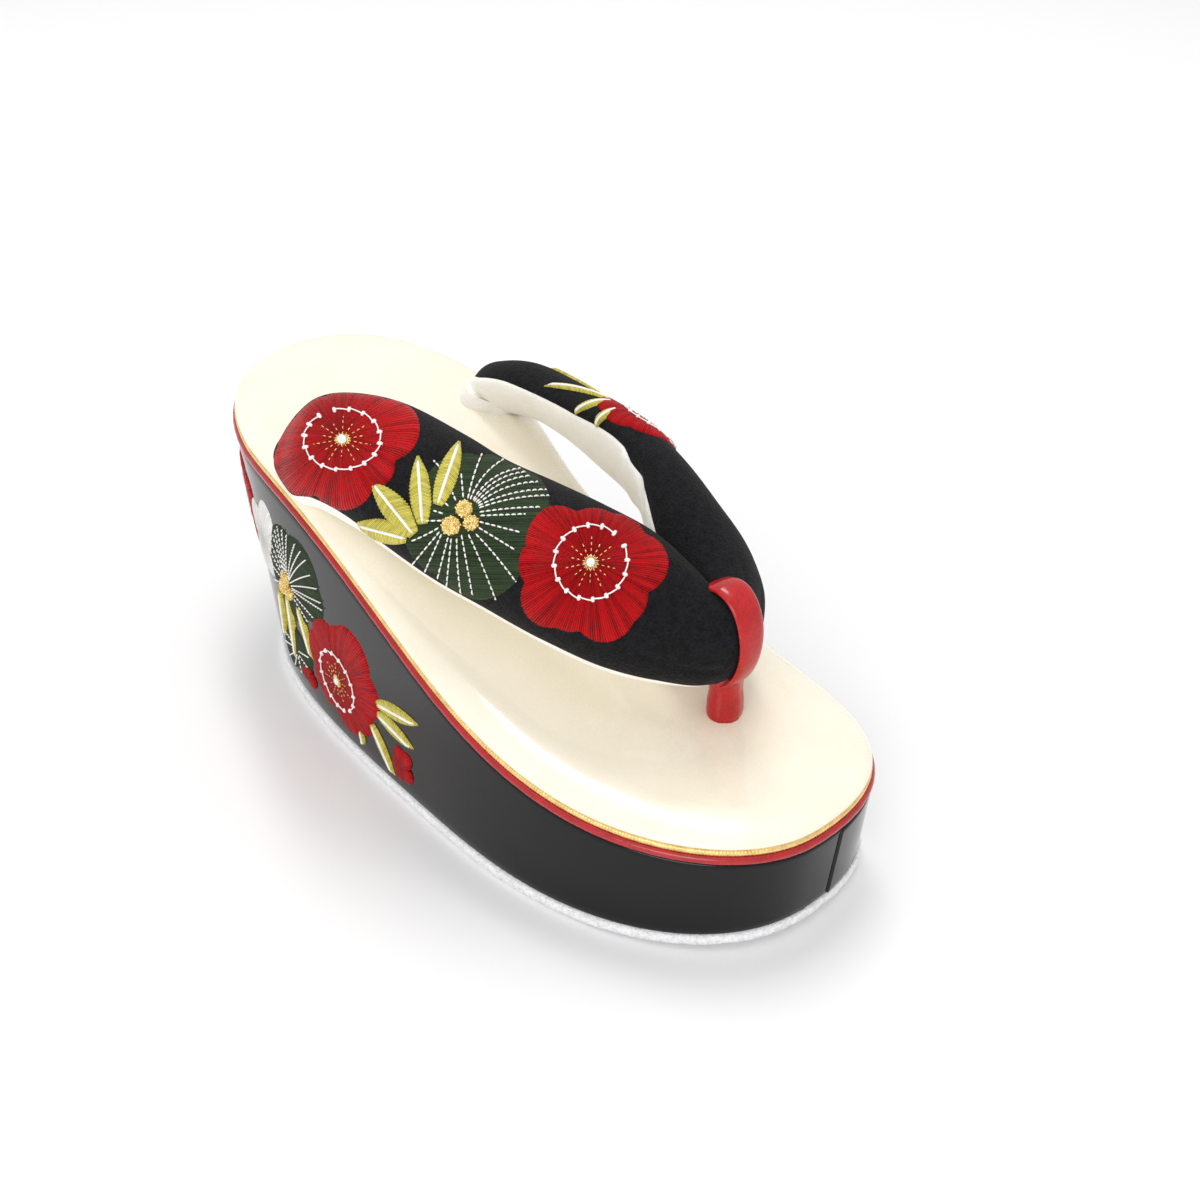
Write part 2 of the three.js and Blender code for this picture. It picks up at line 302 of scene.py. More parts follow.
class Wiring:
    """Short way to place and join shader nodes in one tree."""

    def __init__(self, tree):
        self.tree = tree

    def put(self, kind, settings=None, **inputs):
        node = self.tree.nodes.new(kind)
        for key, value in (settings or {}).items():
            setattr(node, key, value)
        for key, value in inputs.items():
            self.feed(node, key.replace("_", " "), value)
        return node

    def feed(self, node, socket, value):
        if isinstance(value, bpy.types.NodeSocket):
            self.tree.links.new(value, node.inputs[socket])
        else:
            node.inputs[socket].default_value = value

    def math(self, operation, *values):
        node = self.put("ShaderNodeMath", {"operation": operation})
        for index, value in enumerate(values):
            self.feed(node, index, value)
        return node.outputs[0]

    def weigh(self, first, first_share, second, second_share):
        """Two values, each times its share, added up."""
        return self.math("ADD", self.math("MULTIPLY", first, first_share),
                         self.math("MULTIPLY", second, second_share))

    def wave(self, value):
        """Straight waves from 0 to 1, one for each whole step of a value."""
        return self.math("MULTIPLY", self.math("PINGPONG", value, 0.5), 2.0)

    def mix(self, share, first, second):
        node = self.put("ShaderNodeMix", {"data_type": "RGBA"})
        for index, value in zip(MIX_INPUTS, (share, first, second)):
            self.feed(node, index, value)
        return node.outputs[MIX_RESULT]

    def ramp(self, value, low, high):
        node = self.put("ShaderNodeMapRange", {"clamp": True}, Value=value, From_Min=low, From_Max=high)
        return node.outputs["Result"]


def new_group(name, inputs, outputs):
    """A shader node group with named number inputs and named outputs."""
    tree = bpy.data.node_groups.new(name, "ShaderNodeTree")
    for label, value in inputs:
        socket = tree.interface.new_socket(label, in_out="INPUT", socket_type="NodeSocketFloat")
        socket.default_value = value
    for label, kind in outputs:
        tree.interface.new_socket(label, in_out="OUTPUT", socket_type=kind)
    wire = Wiring(tree)
    given = tree.nodes.new("NodeGroupInput")
    result = tree.nodes.new("NodeGroupOutput")
    return tree, wire, given, result


GRAIN_MIX = {"fine": 0.6, "cell": 0.4, "detail": 3.0, "swell_detail": 2.0, "deep": 0.0005}
THREAD_NOISE = {"across": 0.45, "along": 0.16, "detail": 3.0}
THREAD_END = 0.1
# Tone shares: each thread's own tone, painted shade where a stitch ends, painted shade in the valleys
# between threads with a painted highlight on their crests, and a streaky tone along the threads.
THREAD_TONE = {"own": 0.2, "end": 0.1, "ridge": 0.35, "streak": 0.35}
THREAD_RELIEF = {"ridge": 0.85, "end": 0.15, "deep": 0.0003}


def grain_group():
    """Pebbled surface: fine round grain over a slower swell."""
    tree, wire, given, result = new_group(
        "pebble_grain", [("Fine Scale", 1500), ("Swell Scale", 90), ("Depth", 0.3), ("Swell Share", 0.3)],
        [("Normal", "NodeSocketVector"), ("Grain", "NodeSocketFloat"), ("Swell", "NodeSocketFloat")])
    place = wire.put("ShaderNodeTexCoord").outputs["Object"]
    fine = wire.put("ShaderNodeTexNoise", Vector=place, Scale=given.outputs["Fine Scale"],
                    Detail=GRAIN_MIX["detail"])
    cell = wire.put("ShaderNodeTexVoronoi", Vector=place, Scale=given.outputs["Fine Scale"])
    swell = wire.put("ShaderNodeTexNoise", Vector=place, Scale=given.outputs["Swell Scale"],
                     Detail=GRAIN_MIX["swell_detail"])
    grain = wire.weigh(fine.outputs["Fac"], GRAIN_MIX["fine"], cell.outputs["Distance"], GRAIN_MIX["cell"])
    slow = wire.math("MULTIPLY", swell.outputs["Fac"], given.outputs["Swell Share"])
    height = wire.math("ADD", grain, slow)
    bump = wire.put("ShaderNodeBump", Strength=given.outputs["Depth"], Distance=GRAIN_MIX["deep"],
                    Height=height)
    wire.feed(result, "Normal", bump.outputs["Normal"])
    wire.feed(result, "Grain", grain)
    wire.feed(result, "Swell", swell.outputs["Fac"])
    return tree


def thread_group():
    """Satin stitch: U counts the threads side by side, V runs along them in millimetres. Its tone holds
    painted shade in the valleys between threads and where each stitch ends, and a painted highlight on
    each thread's crest, over each thread's own tone and a streaky tone.
    """
    tree, wire, given, result = new_group(
        "satin_threads", [("Stitch Length", 5.0), ("Depth", 0.6)],
        [("Normal", "NodeSocketVector"), ("Tone", "NodeSocketFloat")])
    place = wire.put("ShaderNodeUVMap", {"uv_map": "Threads"}).outputs["UV"]
    parts = wire.put("ShaderNodeSeparateXYZ", Vector=place)
    across, along = parts.outputs["X"], parts.outputs["Y"]
    ridge = wire.wave(across)
    number = wire.math("FLOOR", across)
    own = wire.put("ShaderNodeTexWhiteNoise", {"noise_dimensions": "1D"}, W=number).outputs["Value"]
    step = wire.math("ADD", wire.math("DIVIDE", along, given.outputs["Stitch Length"]), own)
    end = wire.wave(step)
    stretch = wire.put("ShaderNodeCombineXYZ", X=wire.math("MULTIPLY", across, THREAD_NOISE["across"]),
                       Y=wire.math("MULTIPLY", along, THREAD_NOISE["along"]))
    streak = wire.put("ShaderNodeTexNoise", Vector=stretch.outputs["Vector"], Scale=1.0,
                      Detail=THREAD_NOISE["detail"])
    drop = wire.ramp(end, 0.0, THREAD_END)
    # Each thread's own tone, with painted shade where each stitch ends and dips.
    own_tone_and_end_shade = wire.weigh(own, THREAD_TONE["own"], drop, THREAD_TONE["end"])
    # Painted shade in the valleys between threads and a painted highlight on their crests, with a streaky
    # tone along them.
    painted_ridge_shade_and_streak = wire.weigh(ridge, THREAD_TONE["ridge"], streak.outputs["Fac"], THREAD_TONE["streak"])
    tone = wire.math("ADD", painted_ridge_shade_and_streak, own_tone_and_end_shade)
    height = wire.weigh(ridge, THREAD_RELIEF["ridge"], drop, THREAD_RELIEF["end"])
    bump = wire.put("ShaderNodeBump", Strength=given.outputs["Depth"], Distance=THREAD_RELIEF["deep"],
                    Height=height)
    wire.feed(result, "Normal", bump.outputs["Normal"])
    wire.feed(result, "Tone", tone)
    return tree


GRAIN = grain_group()
GRAIN_SOCKETS = ("Fine_Scale", "Swell_Scale", "Depth", "Swell_Share")
GRAIN_TONE = 0.5
TONE_SPAN = (0.3, 0.62)
SHINE_SPAN = (0.25, 0.65)
THREADS = thread_group()
THREAD_DEPTH = 0.8
THREAD_SPAN = (0.26, 0.72)


def new_finish(name, **shine):
    """A material, its wiring and its shader, with the constant numbers set on the shader."""
    finish = bpy.data.materials.new(name)
    finish.use_nodes = True
    wire = Wiring(finish.node_tree)
    shader = finish.node_tree.nodes["Principled BSDF"]
    for key, value in shine.items():
        shader.inputs[key.replace("_", " ")].default_value = value
    return finish, wire, shader


def grained(name, dark, light, grain, rough, **shine):
    """A finish with pebbled grain; its colour goes from dark in the pits to light on the grain."""
    finish, wire, shader = new_finish(name, **shine)
    group = wire.put("ShaderNodeGroup", {"node_tree": GRAIN}, **dict(zip(GRAIN_SOCKETS, grain)))
    tone = wire.weigh(group.outputs["Grain"], GRAIN_TONE, group.outputs["Swell"], GRAIN_TONE)
    share = wire.ramp(tone, *TONE_SPAN)
    wire.feed(shader, "Base Color", wire.mix(share, linear(*dark), linear(*light)))
    low, high = rough
    span = wire.put("ShaderNodeMapRange", Value=group.outputs["Grain"], From_Min=SHINE_SPAN[0],
                    From_Max=SHINE_SPAN[1], To_Min=high, To_Max=low)
    wire.feed(shader, "Roughness", span.outputs["Result"])
    wire.feed(shader, "Normal", group.outputs["Normal"])
    return finish


def satin(name, dark, light, stitch, rough=0.5, **shine):
    """Embroidery thread laid side by side."""
    finish, wire, shader = new_finish(name, Roughness=rough, **shine)
    group = wire.put("ShaderNodeGroup", {"node_tree": THREADS}, Stitch_Length=stitch,
                     Depth=THREAD_DEPTH)
    # The thread tone carries painted shade and highlight across the threads and at stitch ends.
    share = wire.ramp(group.outputs["Tone"], *THREAD_SPAN)
    wire.feed(shader, "Base Color", wire.mix(share, linear(*dark), linear(*light)))
    wire.feed(shader, "Normal", group.outputs["Normal"])
    return finish


# Grained finishes have a dark and a light tone, the grain and the roughness from low to high. Satin
# ones have a dark and a light tone, the stitch length in millimetres and the roughness.
FINISH = {
    "crepe": grained("black_crepe", (7, 7, 8), (25, 25, 28), (1500, 420, 0.85, 0.5), (0.8, 0.95),
                     Sheen_Weight=0.03, Sheen_Roughness=0.5, Specular_IOR_Level=0.15),
    "lining": grained("velvet_lining", (243, 239, 229), (254, 252, 246), (2200, 70, 0.5), (0.85, 1.0),
                      Sheen_Weight=0.3, Sheen_Roughness=0.4, Specular_IOR_Level=0.2),
    "cream": grained("cream_leather", (242, 232, 208), (249, 242, 224), (1700, 60, 0.06), (0.24, 0.32),
                     Coat_Weight=0.8, Coat_Roughness=0.08),
    "patent": grained("black_patent", (7, 7, 8), (13, 12, 14), (420, 28, 0.03, 1.6), (0.08, 0.13),
                      Specular_IOR_Level=0.28),
    "red_cord": grained("red_cord_leather", (140, 8, 14), (182, 18, 26), (1500, 200, 0.12), (0.18, 0.3),
                        Coat_Weight=0.2, Coat_Roughness=0.1),
    "gold_cord": grained("gold_cord_lame", (206, 166, 94), (248, 218, 148), (1900, 300, 0.25),
                         (0.22, 0.36), Metallic=0.55),
    "outsole": grained("fibre_sheet", (212, 213, 215), (244, 244, 245), (1400, 700, 0.7), (0.85, 1.0)),
    "red_leather": grained("red_enamel_leather", (150, 10, 14), (188, 22, 26), (1100, 130, 0.08),
                           (0.16, 0.26), Specular_IOR_Level=0.45),
    "red_silk": satin("red_silk", (80, 3, 8), (204, 18, 23), 6.0, Specular_IOR_Level=0.1),
    "leaf_silk": satin("leaf_silk", (138, 124, 26), (242, 230, 104), 9.0, 0.45, Specular_IOR_Level=0.35),
    "pine_silk": satin("pine_silk", (6, 14, 8), (60, 78, 50), 1.8, 0.65, Specular_IOR_Level=0.15),
    "white_silk": satin("white_silk", (206, 204, 200), (250, 249, 246), 7.0),
    "white_thread": grained("white_thread", (228, 222, 220), (252, 250, 248), (2600, 300, 0.4),
                            (0.5, 0.7)),
    "gold_thread": grained("gold_thread", (190, 134, 42), (255, 236, 160), (1500, 900, 0.9),
                           (0.16, 0.36), Metallic=0.55),
}

# Sole pieces

TURNS = 360
MERGE = 0.001
OUTSOLE_EDGE = [(-0.1, 0.0), (0.7, 0.5), (0.8, 1.5), (0.75, 2.5), (0.2, 3.0)]  # lip, height
OUTSOLE_FILL = np.linspace(1, 0.1, 8)
FRAY = {"seed": 3, "spread": 0.12}


def sole_turns(extra=()):
    """Turns round the sole, with some extra ones; the points they give are closer at the tips."""
    turns = np.arange(TURNS) * 2 / TURNS
    return np.sort(np.concatenate([turns, extra]))


def spine_rings(ring, height, steps):
    """Rings between an edge ring and the sole's middle line."""
    rings = []
    for share in steps:
        flat = toward_spine(ring[:, :2], share)
        rings.append(np.c_[flat, height(flat)])
    return rings


def sole_skin(sides, under, over, under_fill, over_fill):
    """A closed skin: the underside from the middle line out, the sides, the top in to the middle line."""
    bits = Bits()
    bits.rings(spine_rings(sides[0], under, under_fill) + sides
               + spine_rings(sides[-1], over, over_fill), capped=False)
    return bits


def outsole():
    """The fibrous sheet under the sole, its edge a little frayed."""
    turn = sole_turns()
    fray = np.random.default_rng(FRAY["seed"]).normal(0, FRAY["spread"], (2, len(turn)))
    sides = []
    for step, (lip, rise) in enumerate(OUTSOLE_EDGE):
        flat = outline(inset(BASE_FORM, -lip), turn)
        if 0 < step < len(OUTSOLE_EDGE) - 1:
            flat = flat + unit(flat - BASE_MIDDLE) * fray[step % 2][:, None]
        sides.append(np.c_[flat, spring_height(flat[:, 0]) + rise])
    under = lambda flat: spring_height(flat[:, 0])
    over = lambda flat: spring_height(flat[:, 0]) + OUTSOLE_THICK
    bits = sole_skin(sides, under, over, OUTSOLE_FILL, OUTSOLE_FILL[::-1])
    bits.piece("outsole_sheet", FINISH["outsole"], "outsole_sheet", "outsole", MERGE)


SEAM = {"turn": 1.968, "from": 1.5, "step": 0.55, "fade": 11.0}
SEAM_STEPS = (-0.004, -0.0006, 0, 0.0006, 0.0014, 0.005)
TURN_PROBE = 1e-4
WALL_ROWS = [0, 0.006, 0.02, 0.08, 0.2, 0.35, 0.5, 0.65, 0.8, 0.92, 0.97]
WALL_DROP = 0.9
WALL_CURL = [(0.0, WALL_DROP), (0.12, 0.45), (0.5, 0.12), (1.2, 0.0), (3.0, 0.0)]  # depth in, drop
WALL_TUCK = {"depth": 0.35, "reach": 0.006}
WEDGE_FILL = np.linspace(1, 0.15, 6)


def wall_points(turn, share):
    """Points on the wedge's wall, from its lower edge at share 0 to the top edge at 1."""
    low = outline(BASE_FORM, turn)
    high = outline(inset(TOP_FORM, WALL_INSET), turn)
    low = np.c_[low, wedge_bottom(low[:, 0])]
    high = np.c_[high, edge_height(high[:, 0]) - WALL_DROP]
    return low + (high - low) * share


def seam_lift(turn):
    """How far the wrap's overlapping end stands off the wall."""
    flat = outline(TOP_FORM, turn)
    at = outline(TOP_FORM, np.array([SEAM["turn"]]))[0]
    away = np.linalg.norm(flat - at, axis=1)
    lapped = (turn <= SEAM["turn"]) & (turn > SEAM["from"])
    return np.where(lapped, SEAM["step"] * np.exp(-away / SEAM["fade"]), 0)


def outward(turn):
    """Outward directions of the sole's top outline."""
    along = outline(TOP_FORM, turn + TURN_PROBE) - outline(TOP_FORM, turn - TURN_PROBE)
    away = unit(np.stack([-along[:, 1], along[:, 0]], axis=-1), TINY)
    facing = np.sign(np.sum(away * (outline(TOP_FORM, turn) - TOP_MIDDLE), axis=1))
    return away * facing[:, None]


def wedge():
    """The core in its glossy wrap, tucked in at the foot and curled over at the top edge."""
    turn = sole_turns([SEAM["turn"] + step for step in SEAM_STEPS])
    lift = seam_lift(turn)
    away = outward(turn)
    sides = []
    for share in WALL_ROWS:
        ring = wall_points(turn, share)
        tuck = -WALL_TUCK["depth"] * math.exp(-share / WALL_TUCK["reach"])
        ring[:, :2] += away * (lift + tuck)[:, None]
        sides.append(ring)
    for depth, drop in WALL_CURL:
        flat = outline(inset(TOP_FORM, WALL_INSET + depth), turn)
        flat = flat + away * lift[:, None] * max(0.0, 1 - depth)
        sides.append(np.c_[flat, edge_height(flat[:, 0]) - drop])
    under = lambda flat: wedge_bottom(flat[:, 0])
    top = lambda flat: edge_height(flat[:, 0])
    bits = sole_skin(sides, under, top, WEDGE_FILL, WEDGE_FILL[::-1])
    bits.piece("wedge_wrap", FINISH["patent"], "black_patent", "wedge", MERGE)


RED = {"radius": 1.25, "inset": 1.25, "rise": 1.3, "steps": 720, "sides": 16}
RED_SWELL = {"height": 0.02, "pace": 0.9, "drift": 0.13, "sway": 3}
GOLD = {"radius": 0.98, "inset": 1.75, "rise": 3.35, "steps": 3600, "sides": 12}
GOLD_RIB = {"length": 0.85, "middle": 0.98, "height": 0.035}
PATH_STEPS = 6001


def cord_path(cord):
    """Evenly spaced points along a piping, their outward and upward directions and distances."""
    flat = outline(inset(TOP_FORM, cord["inset"]), np.linspace(0, 2, PATH_STEPS))
    path = np.c_[flat, edge_height(flat[:, 0]) + cord["rise"]]
    run = run_along(path)
    place = np.linspace(0, run[-1], cord["steps"], endpoint=False)
    path = walk(path, run, place)
    along = unit(np.roll(path, -1, axis=0) - np.roll(path, 1, axis=0))
    side = unit(np.cross(along, [0, 0, 1.0]))
    return path, side, np.cross(side, along), place, run[-1]


def piping(cord, swell):
    """A closed cord round the sole; swell gives its radius by place and angle."""
    path, side, up, place, total = cord_path(cord)
    angle = round_angles(cord["sides"])
    radius = cord["radius"] * swell(place[:, None], angle[None, :], total)
    bits = Bits()
    bits.tube(round_rings(path, side, up, radius, angle))
    return bits


def red_piping():
    def swell(place, angle, total):
        sway = np.sin(place * RED_SWELL["drift"]) * RED_SWELL["sway"]
        return 1 + RED_SWELL["height"] * np.sin(place * RED_SWELL["pace"] + sway) * np.cos(angle)

    piping(RED, swell).piece("red_piping_cord", FINISH["red_cord"], "red_cord", "red_piping")


def gold_piping():
    def swell(place, angle, total):
        ribs = round(total / GOLD_RIB["length"])
        wave = np.cos(2 * np.pi * ribs * place / total + angle)
        return GOLD_RIB["middle"] + GOLD_RIB["height"] * wave

    piping(GOLD, swell).piece("gold_piping_cord", FINISH["gold_cord"], "gold_cord", "gold_piping")


FOOTBED_EDGE = [  # depth in from the edge, height above the wedge
    (3.9, 0.0), (3.9, 3.0), (3.3, 3.75), (2.4, 4.0), (1.65, 4.2), (1.2, 4.5), (1.05, 4.86), (1.2, 5.3),
    (1.65, 5.86), (2.5, 6.45), (3.7, 7.05), (5.4, 7.6), (7.6, 8.05), (10.2, 8.36), (13.5, 8.5),
]
FOOTBED_UNDER = np.linspace(1, 0.1, 5)
FOOTBED_OVER = np.linspace(0.02, 1, 44)
DENTS = [  # x, y, reach, depth
    (75, 15.5, 8, 0.4),
    (-50, -32, 13, 0.9),
    (-50, 30.5, 12, 0.9),
]


def footbed_height(flat):
    """The footbed's top, pressed in where the thong and straps go down into it."""
    height = foot_top(flat[:, 0])
    for x, y, reach, depth in DENTS:
        away = np.hypot(flat[:, 0] - x, flat[:, 1] - y)
        height = height - depth * bell(away, reach)
    return height


def footbed():
    """The padded top with its rolled rim."""
    turn = sole_turns()
    sides = []
    for depth, rise in FOOTBED_EDGE:
        flat = outline(inset(TOP_FORM, depth), turn)
        sides.append(np.c_[flat, edge_height(flat[:, 0]) + rise])
    under = lambda flat: edge_height(flat[:, 0])
    bits = sole_skin(sides, under, footbed_height, FOOTBED_UNDER, FOOTBED_OVER)
    piece = bits.piece("footbed_pad", FINISH["cream"], "cream_leather", "footbed", MERGE)


# Straps

STRAP_POWER = 2.15
STRAP_PROBE = 0.01
STRAP_STEPS = 300
STRAP_SIDES = 112
PAD_SPACING = 9.0
CREASE_LENGTH = 170.0
CREASE_GIRTH = 26.0
FOOT = None
SUNK = 2.4
JOINT_Y = 14
JOINT_SOFT = 1.2
JOINT_FROM = 0.7
JOINT_BLEND = 0.1
LOOP = {"x": 74.2, "y": 14.3, "z": 65.2, "lean": -0.14, "high": 14, "deep": 9.1, "thick": 1.6}
LOOP_LEVEL, LOOP_TILT = math.cos(LOOP["lean"]), math.sin(LOOP["lean"])
LOOP_FILL = {"share": 0.97, "full": 3.5, "fade": 4.5, "least": 0.5}
OUTER_ROWS = [  # lower edge, upper edge, padding outside, padding underneath
    ((-41, -34.5, FOOT), (-57, -30.5, FOOT), 6, 7),
    ((-39, -44, 81.5), (-53.5, -27.5, 86), 8.7, 7),
    ((-36, -45.5, 78), (-50.5, -26.5, 95.5), 8, 7),
    ((-24, -44, 79.5), (-37, -22, 100.5), 15.8, 8),
    ((-12, -41, 78), (-20, -16, 102.5), 19, 9),
    ((0, -37, 74), (0, -12, 101), 19, 9),
    ((13, -32, 69), (13, -8, 97.5), 19, 9),
    ((28, -25, 64), (26, -2, 94.5), 18.5, 9),
    ((42, -19, 60), (40, 3, 92), 18, 9),
    ((55, -11, 55.5), (52, 9, 87.5), 16.5, 8),
    ((65, -2, 53), (63.5, 12, 82), 13, 7),
    ((72, 7, 52.3), (73, 12, 79), 9.5, 7.5),
    ((72.2, 15, 52.2), (75.8, 15, 78.2), 8.5, 8.5),
]
INNER_ROWS = [
    ((-40, 31, FOOT), (-57, 30, FOOT), 6, 6),
    ((-38, 34, 82.5), (-55, 29, 86), 7, 6),
    ((-33, 38, 81.5), (-48, 26, 90), 9, 5.5),
    ((-25, 41, 80), (-37, 26, 93.5), 10, 5),
    ((-14, 42, 77), (-21, 28, 95), 10, 5),
    ((-1, 41, 73), (-4, 30, 95.5), 10, 5),
    ((13, 40, 70), (13, 31, 95), 10, 5.5),
    ((27, 38, 67), (29, 29, 92.5), 10, 7.5),
    ((41, 36, 63.5), (44, 26, 87.5), 10, 12.5),
    ((54, 34, 60.5), (56, 23, 82.5), 10, 16),
    ((65, 29, 56), (66, 19, 79.5), 9.5, 13.5),
    ((71.5, 21, 52.3), (73, 17, 78.7), 7.5, 9.5),
    ((72.2, 13, 52.2), (75.8, 13, 78.2), 8.5, 8.5),
]
CREASES = {  # start and end as (share along, degrees round), width and depth in mm
    "outer": [((0.80, 35), (0.93, 15), 2.2, 0.7), ((0.84, 75), (0.95, 60), 2.0, 0.6),
              ((0.82, 120), (0.95, 110), 2.6, 0.5), ((0.02, 60), (0.10, 75), 3.0, 0.5),
              ((0.02, 110), (0.09, 120), 2.4, 0.5), ((0.76, -20), (0.92, -35), 2.6, 0.8)],
    "inner": [((0.82, 40), (0.95, 25), 2.2, 0.6), ((0.80, 85), (0.95, 80), 2.4, 0.6),
              ((0.84, 130), (0.95, 125), 2.2, 0.5), ((0.02, 70), (0.10, 80), 2.6, 0.5),
              ((0.54, -20), (0.64, -75), 2.0, 1.0), ((0.60, 20), (0.70, 5), 3.0, 0.4)],
}


def rail(points, t):
    """A smooth curve through points, at shares t of the way."""
    points = np.array(points, float)
    ends = np.vstack([2 * points[:1] - points[1:2], points, 2 * points[-1:] - points[-2:-1]])
    place = np.clip(t, 0, 1) * (len(points) - 1)
    row = np.minimum(place.astype(int), len(points) - 2)
    w = (place - row)[:, None]
    p0, p1, p2, p3 = (ends[row + k] for k in range(4))
    pairs = ((p0, p1), (p1, p2), (p2, p3))
    d0, d1, d2 = (np.sqrt(np.linalg.norm(b - a, axis=1))[:, None] for a, b in pairs)
    m1 = ((p1 - p0) / d0 - (p2 - p0) / (d0 + d1) + (p2 - p1) / d1) * d1
    m2 = ((p2 - p1) / d1 - (p3 - p1) / (d1 + d2) + (p3 - p2) / d2) * d1
    w2 = w * w
    w3 = w2 * w
    return (2 * w3 - 3 * w2 + 1) * p1 + (w3 - 2 * w2 + w) * m1 + (3 * w2 - 2 * w3) * p2 + (w3 - w2) * m2


def fill_loop(points):
    """Strap points swollen to fill the thong's loop where the straps pass through it."""
    ahead, above = points[:, 0] - LOOP["x"], points[:, 2] - LOOP["z"]
    forward, upward = ahead * LOOP_LEVEL + above * LOOP_TILT, above * LOOP_LEVEL - ahead * LOOP_TILT
    reach = np.hypot(forward / LOOP["deep"], upward / LOOP["high"])
    away = np.abs(points[:, 1] - LOOP["y"])
    near = ease(1 - (away - LOOP_FILL["full"]) / LOOP_FILL["fade"])
    grow = near * np.maximum(0, LOOP_FILL["share"] / np.maximum(reach, LOOP_FILL["least"]) - 1)
    return points + np.stack([ahead * grow, 0 * grow, above * grow], axis=-1)


class Strap:
    """A stuffed strap: t runs from the heel end to the joint, the angle from the upper edge outward."""

    def __init__(self, name, rows, sign):
        def place(p):
            return (p[0], p[1], foot_top(p[0]) - SUNK if p[2] is FOOT else p[2])

        self.name = name
        self.low = [place(row[0]) for row in rows]
        self.top = [place(row[1]) for row in rows]
        self.pads = [(PAD_SPACING * index, row[2], row[3]) for index, row in enumerate(rows)]
        self.sign = sign

    def points(self, t, angle, lift=0.0):
        t, angle, lift = np.broadcast_arrays(*(np.asarray(v, float) for v in (t, angle, lift)))
        shape = t.shape
        t, angle, lift = t.ravel(), angle.ravel(), lift.ravel()
        low, top = rail(self.low, t), rail(self.top, t)
        middle, across = (low + top) / 2, (top - low) / 2
        ahead, behind = np.minimum(1, t + STRAP_PROBE), np.maximum(0, t - STRAP_PROBE)
        along = rail(self.low, ahead) + rail(self.top, ahead)
        along = along - rail(self.low, behind) - rail(self.top, behind)
        out = unit(np.cross(along, across) * -self.sign)
        pads = rail(self.pads, t)
        pad = np.where(np.sin(angle) < 0, pads[:, 2], pads[:, 1]) + lift + self.dents(t, angle)
        half = np.linalg.norm(across, axis=1)
        wide = across * ((half + lift) / half)[:, None]
        power = 2 / STRAP_POWER
        rise = signed_power(np.cos(angle), power)
        depth = signed_power(np.sin(angle), power) * pad
        p = middle + wide * rise[:, None] + out * depth[:, None]
        p[:, 2] = np.maximum(p[:, 2], foot_top(p[:, 0]) - SUNK)
        clear = (p[:, 1] - JOINT_Y) * self.sign
        pressed = JOINT_SOFT * np.logaddexp(0, clear / JOINT_SOFT)
        near = np.clip((t - JOINT_FROM) / JOINT_BLEND, 0, 1)
        p[:, 1] = JOINT_Y + self.sign * (clear + (pressed - clear) * near)
        return fill_loop(p).reshape(*shape, 3)

    def dents(self, t, angle):
        """Creases pressed into the padding."""
        length, girth = CREASE_LENGTH, CREASE_GIRTH
        here = np.stack([t * length, (angle + np.pi) % (2 * np.pi) * girth - np.pi * girth], axis=-1)
        total = np.zeros(len(t))
        for start, end, width, depth in CREASES[self.name]:
            a = np.array([start[0] * length, math.radians(start[1]) * girth])
            b = np.array([end[0] * length, math.radians(end[1]) * girth])
            share = np.clip(np.sum((here - a) * (b - a), axis=1) / np.sum((b - a) ** 2), 0, 1)
            away = np.linalg.norm(here - a - share[:, None] * (b - a), axis=1)
            total -= depth * bell(away, width)
        return total


OUTER = Strap("outer", OUTER_ROWS, -1)
INNER = Strap("inner", INNER_ROWS, 1)

LINING_STEPS = 240
LINING_SPANS = 44
LINING_LINE = 20  # the span along which the sheet's length is measured
LINING_EDGE = 12
LINING_LIFT = 0.4
LINING_ROOT = -0.35
LINING_PLEAT = {"height": 0.2, "waves": 5, "start": 0.6, "reach": 0.11}
LINING_SLACK = {"outer": 0.6, "inner": 2.8}
SLACK_REACH = 0.08
SLACK_FROM = 0.3
LINING_SEAT = 1.0
LINING_TUCK = 0.12
LINING_FOLD = {"outer": (0.6, 0.0), "inner": (0.535, 0.9)}  # share along, height
FOLD_REACH = 0.007
LININGS = {  # share along, lower border, upper border, in degrees round the section
    "outer": [(0.0, 170, 345), (0.10, 165, 350), (0.16, 163, 340), (0.30, 162, 318), (0.48, 162, 290),
              (0.66, 160, 282), (0.78, 157, 272), (0.88, 156, 240), (0.95, 160, 205)],
    "inner": [(0.0, 187, 357), (0.12, 185, 359), (0.2, 179, 356), (0.26, 177, 353), (0.34, 177, 342),
              (0.41, 177, 331), (0.525, 177, 329), (0.55, 178, 318), (0.62, 179, 314), (0.70, 181, 311),
              (0.78, 184, 296), (0.86, 188, 262)],
}


def lining_span(strap, t):
    """Lower and upper border of a strap's lining, as angles round the section."""
    rows = np.array(LININGS[strap.name], float)
    return tuple(np.radians(np.interp(t, rows[:, 0], rows[:, column])) for column in (1, 2))


def strap_piece(strap, name, replaced=None):
    """A strap, seated a little lower under its lining; gives the surface to lay embroidery on."""
    t = np.linspace(0, 1, STRAP_STEPS)[:, None]
    angle = round_angles(STRAP_SIDES)[None, :]
    first, last = lining_span(strap, t)
    covered = np.clip((angle - first) / LINING_TUCK, 0, 1) * np.clip((last - angle) / LINING_TUCK, 0, 1)
    covered = covered * np.clip((LININGS[strap.name][-1][0] - t) / LINING_TUCK, 0, 1)
    rings = strap.points(t, angle, -LINING_SEAT * covered)
    bits = Bits()
    bits.rings(rings)
    piece = bits.piece(name, FINISH["crepe"], "black_crepe", replaced)
    return BVHTree.FromPolygons(np.vstack(bits.points).tolist(), bits.faces)


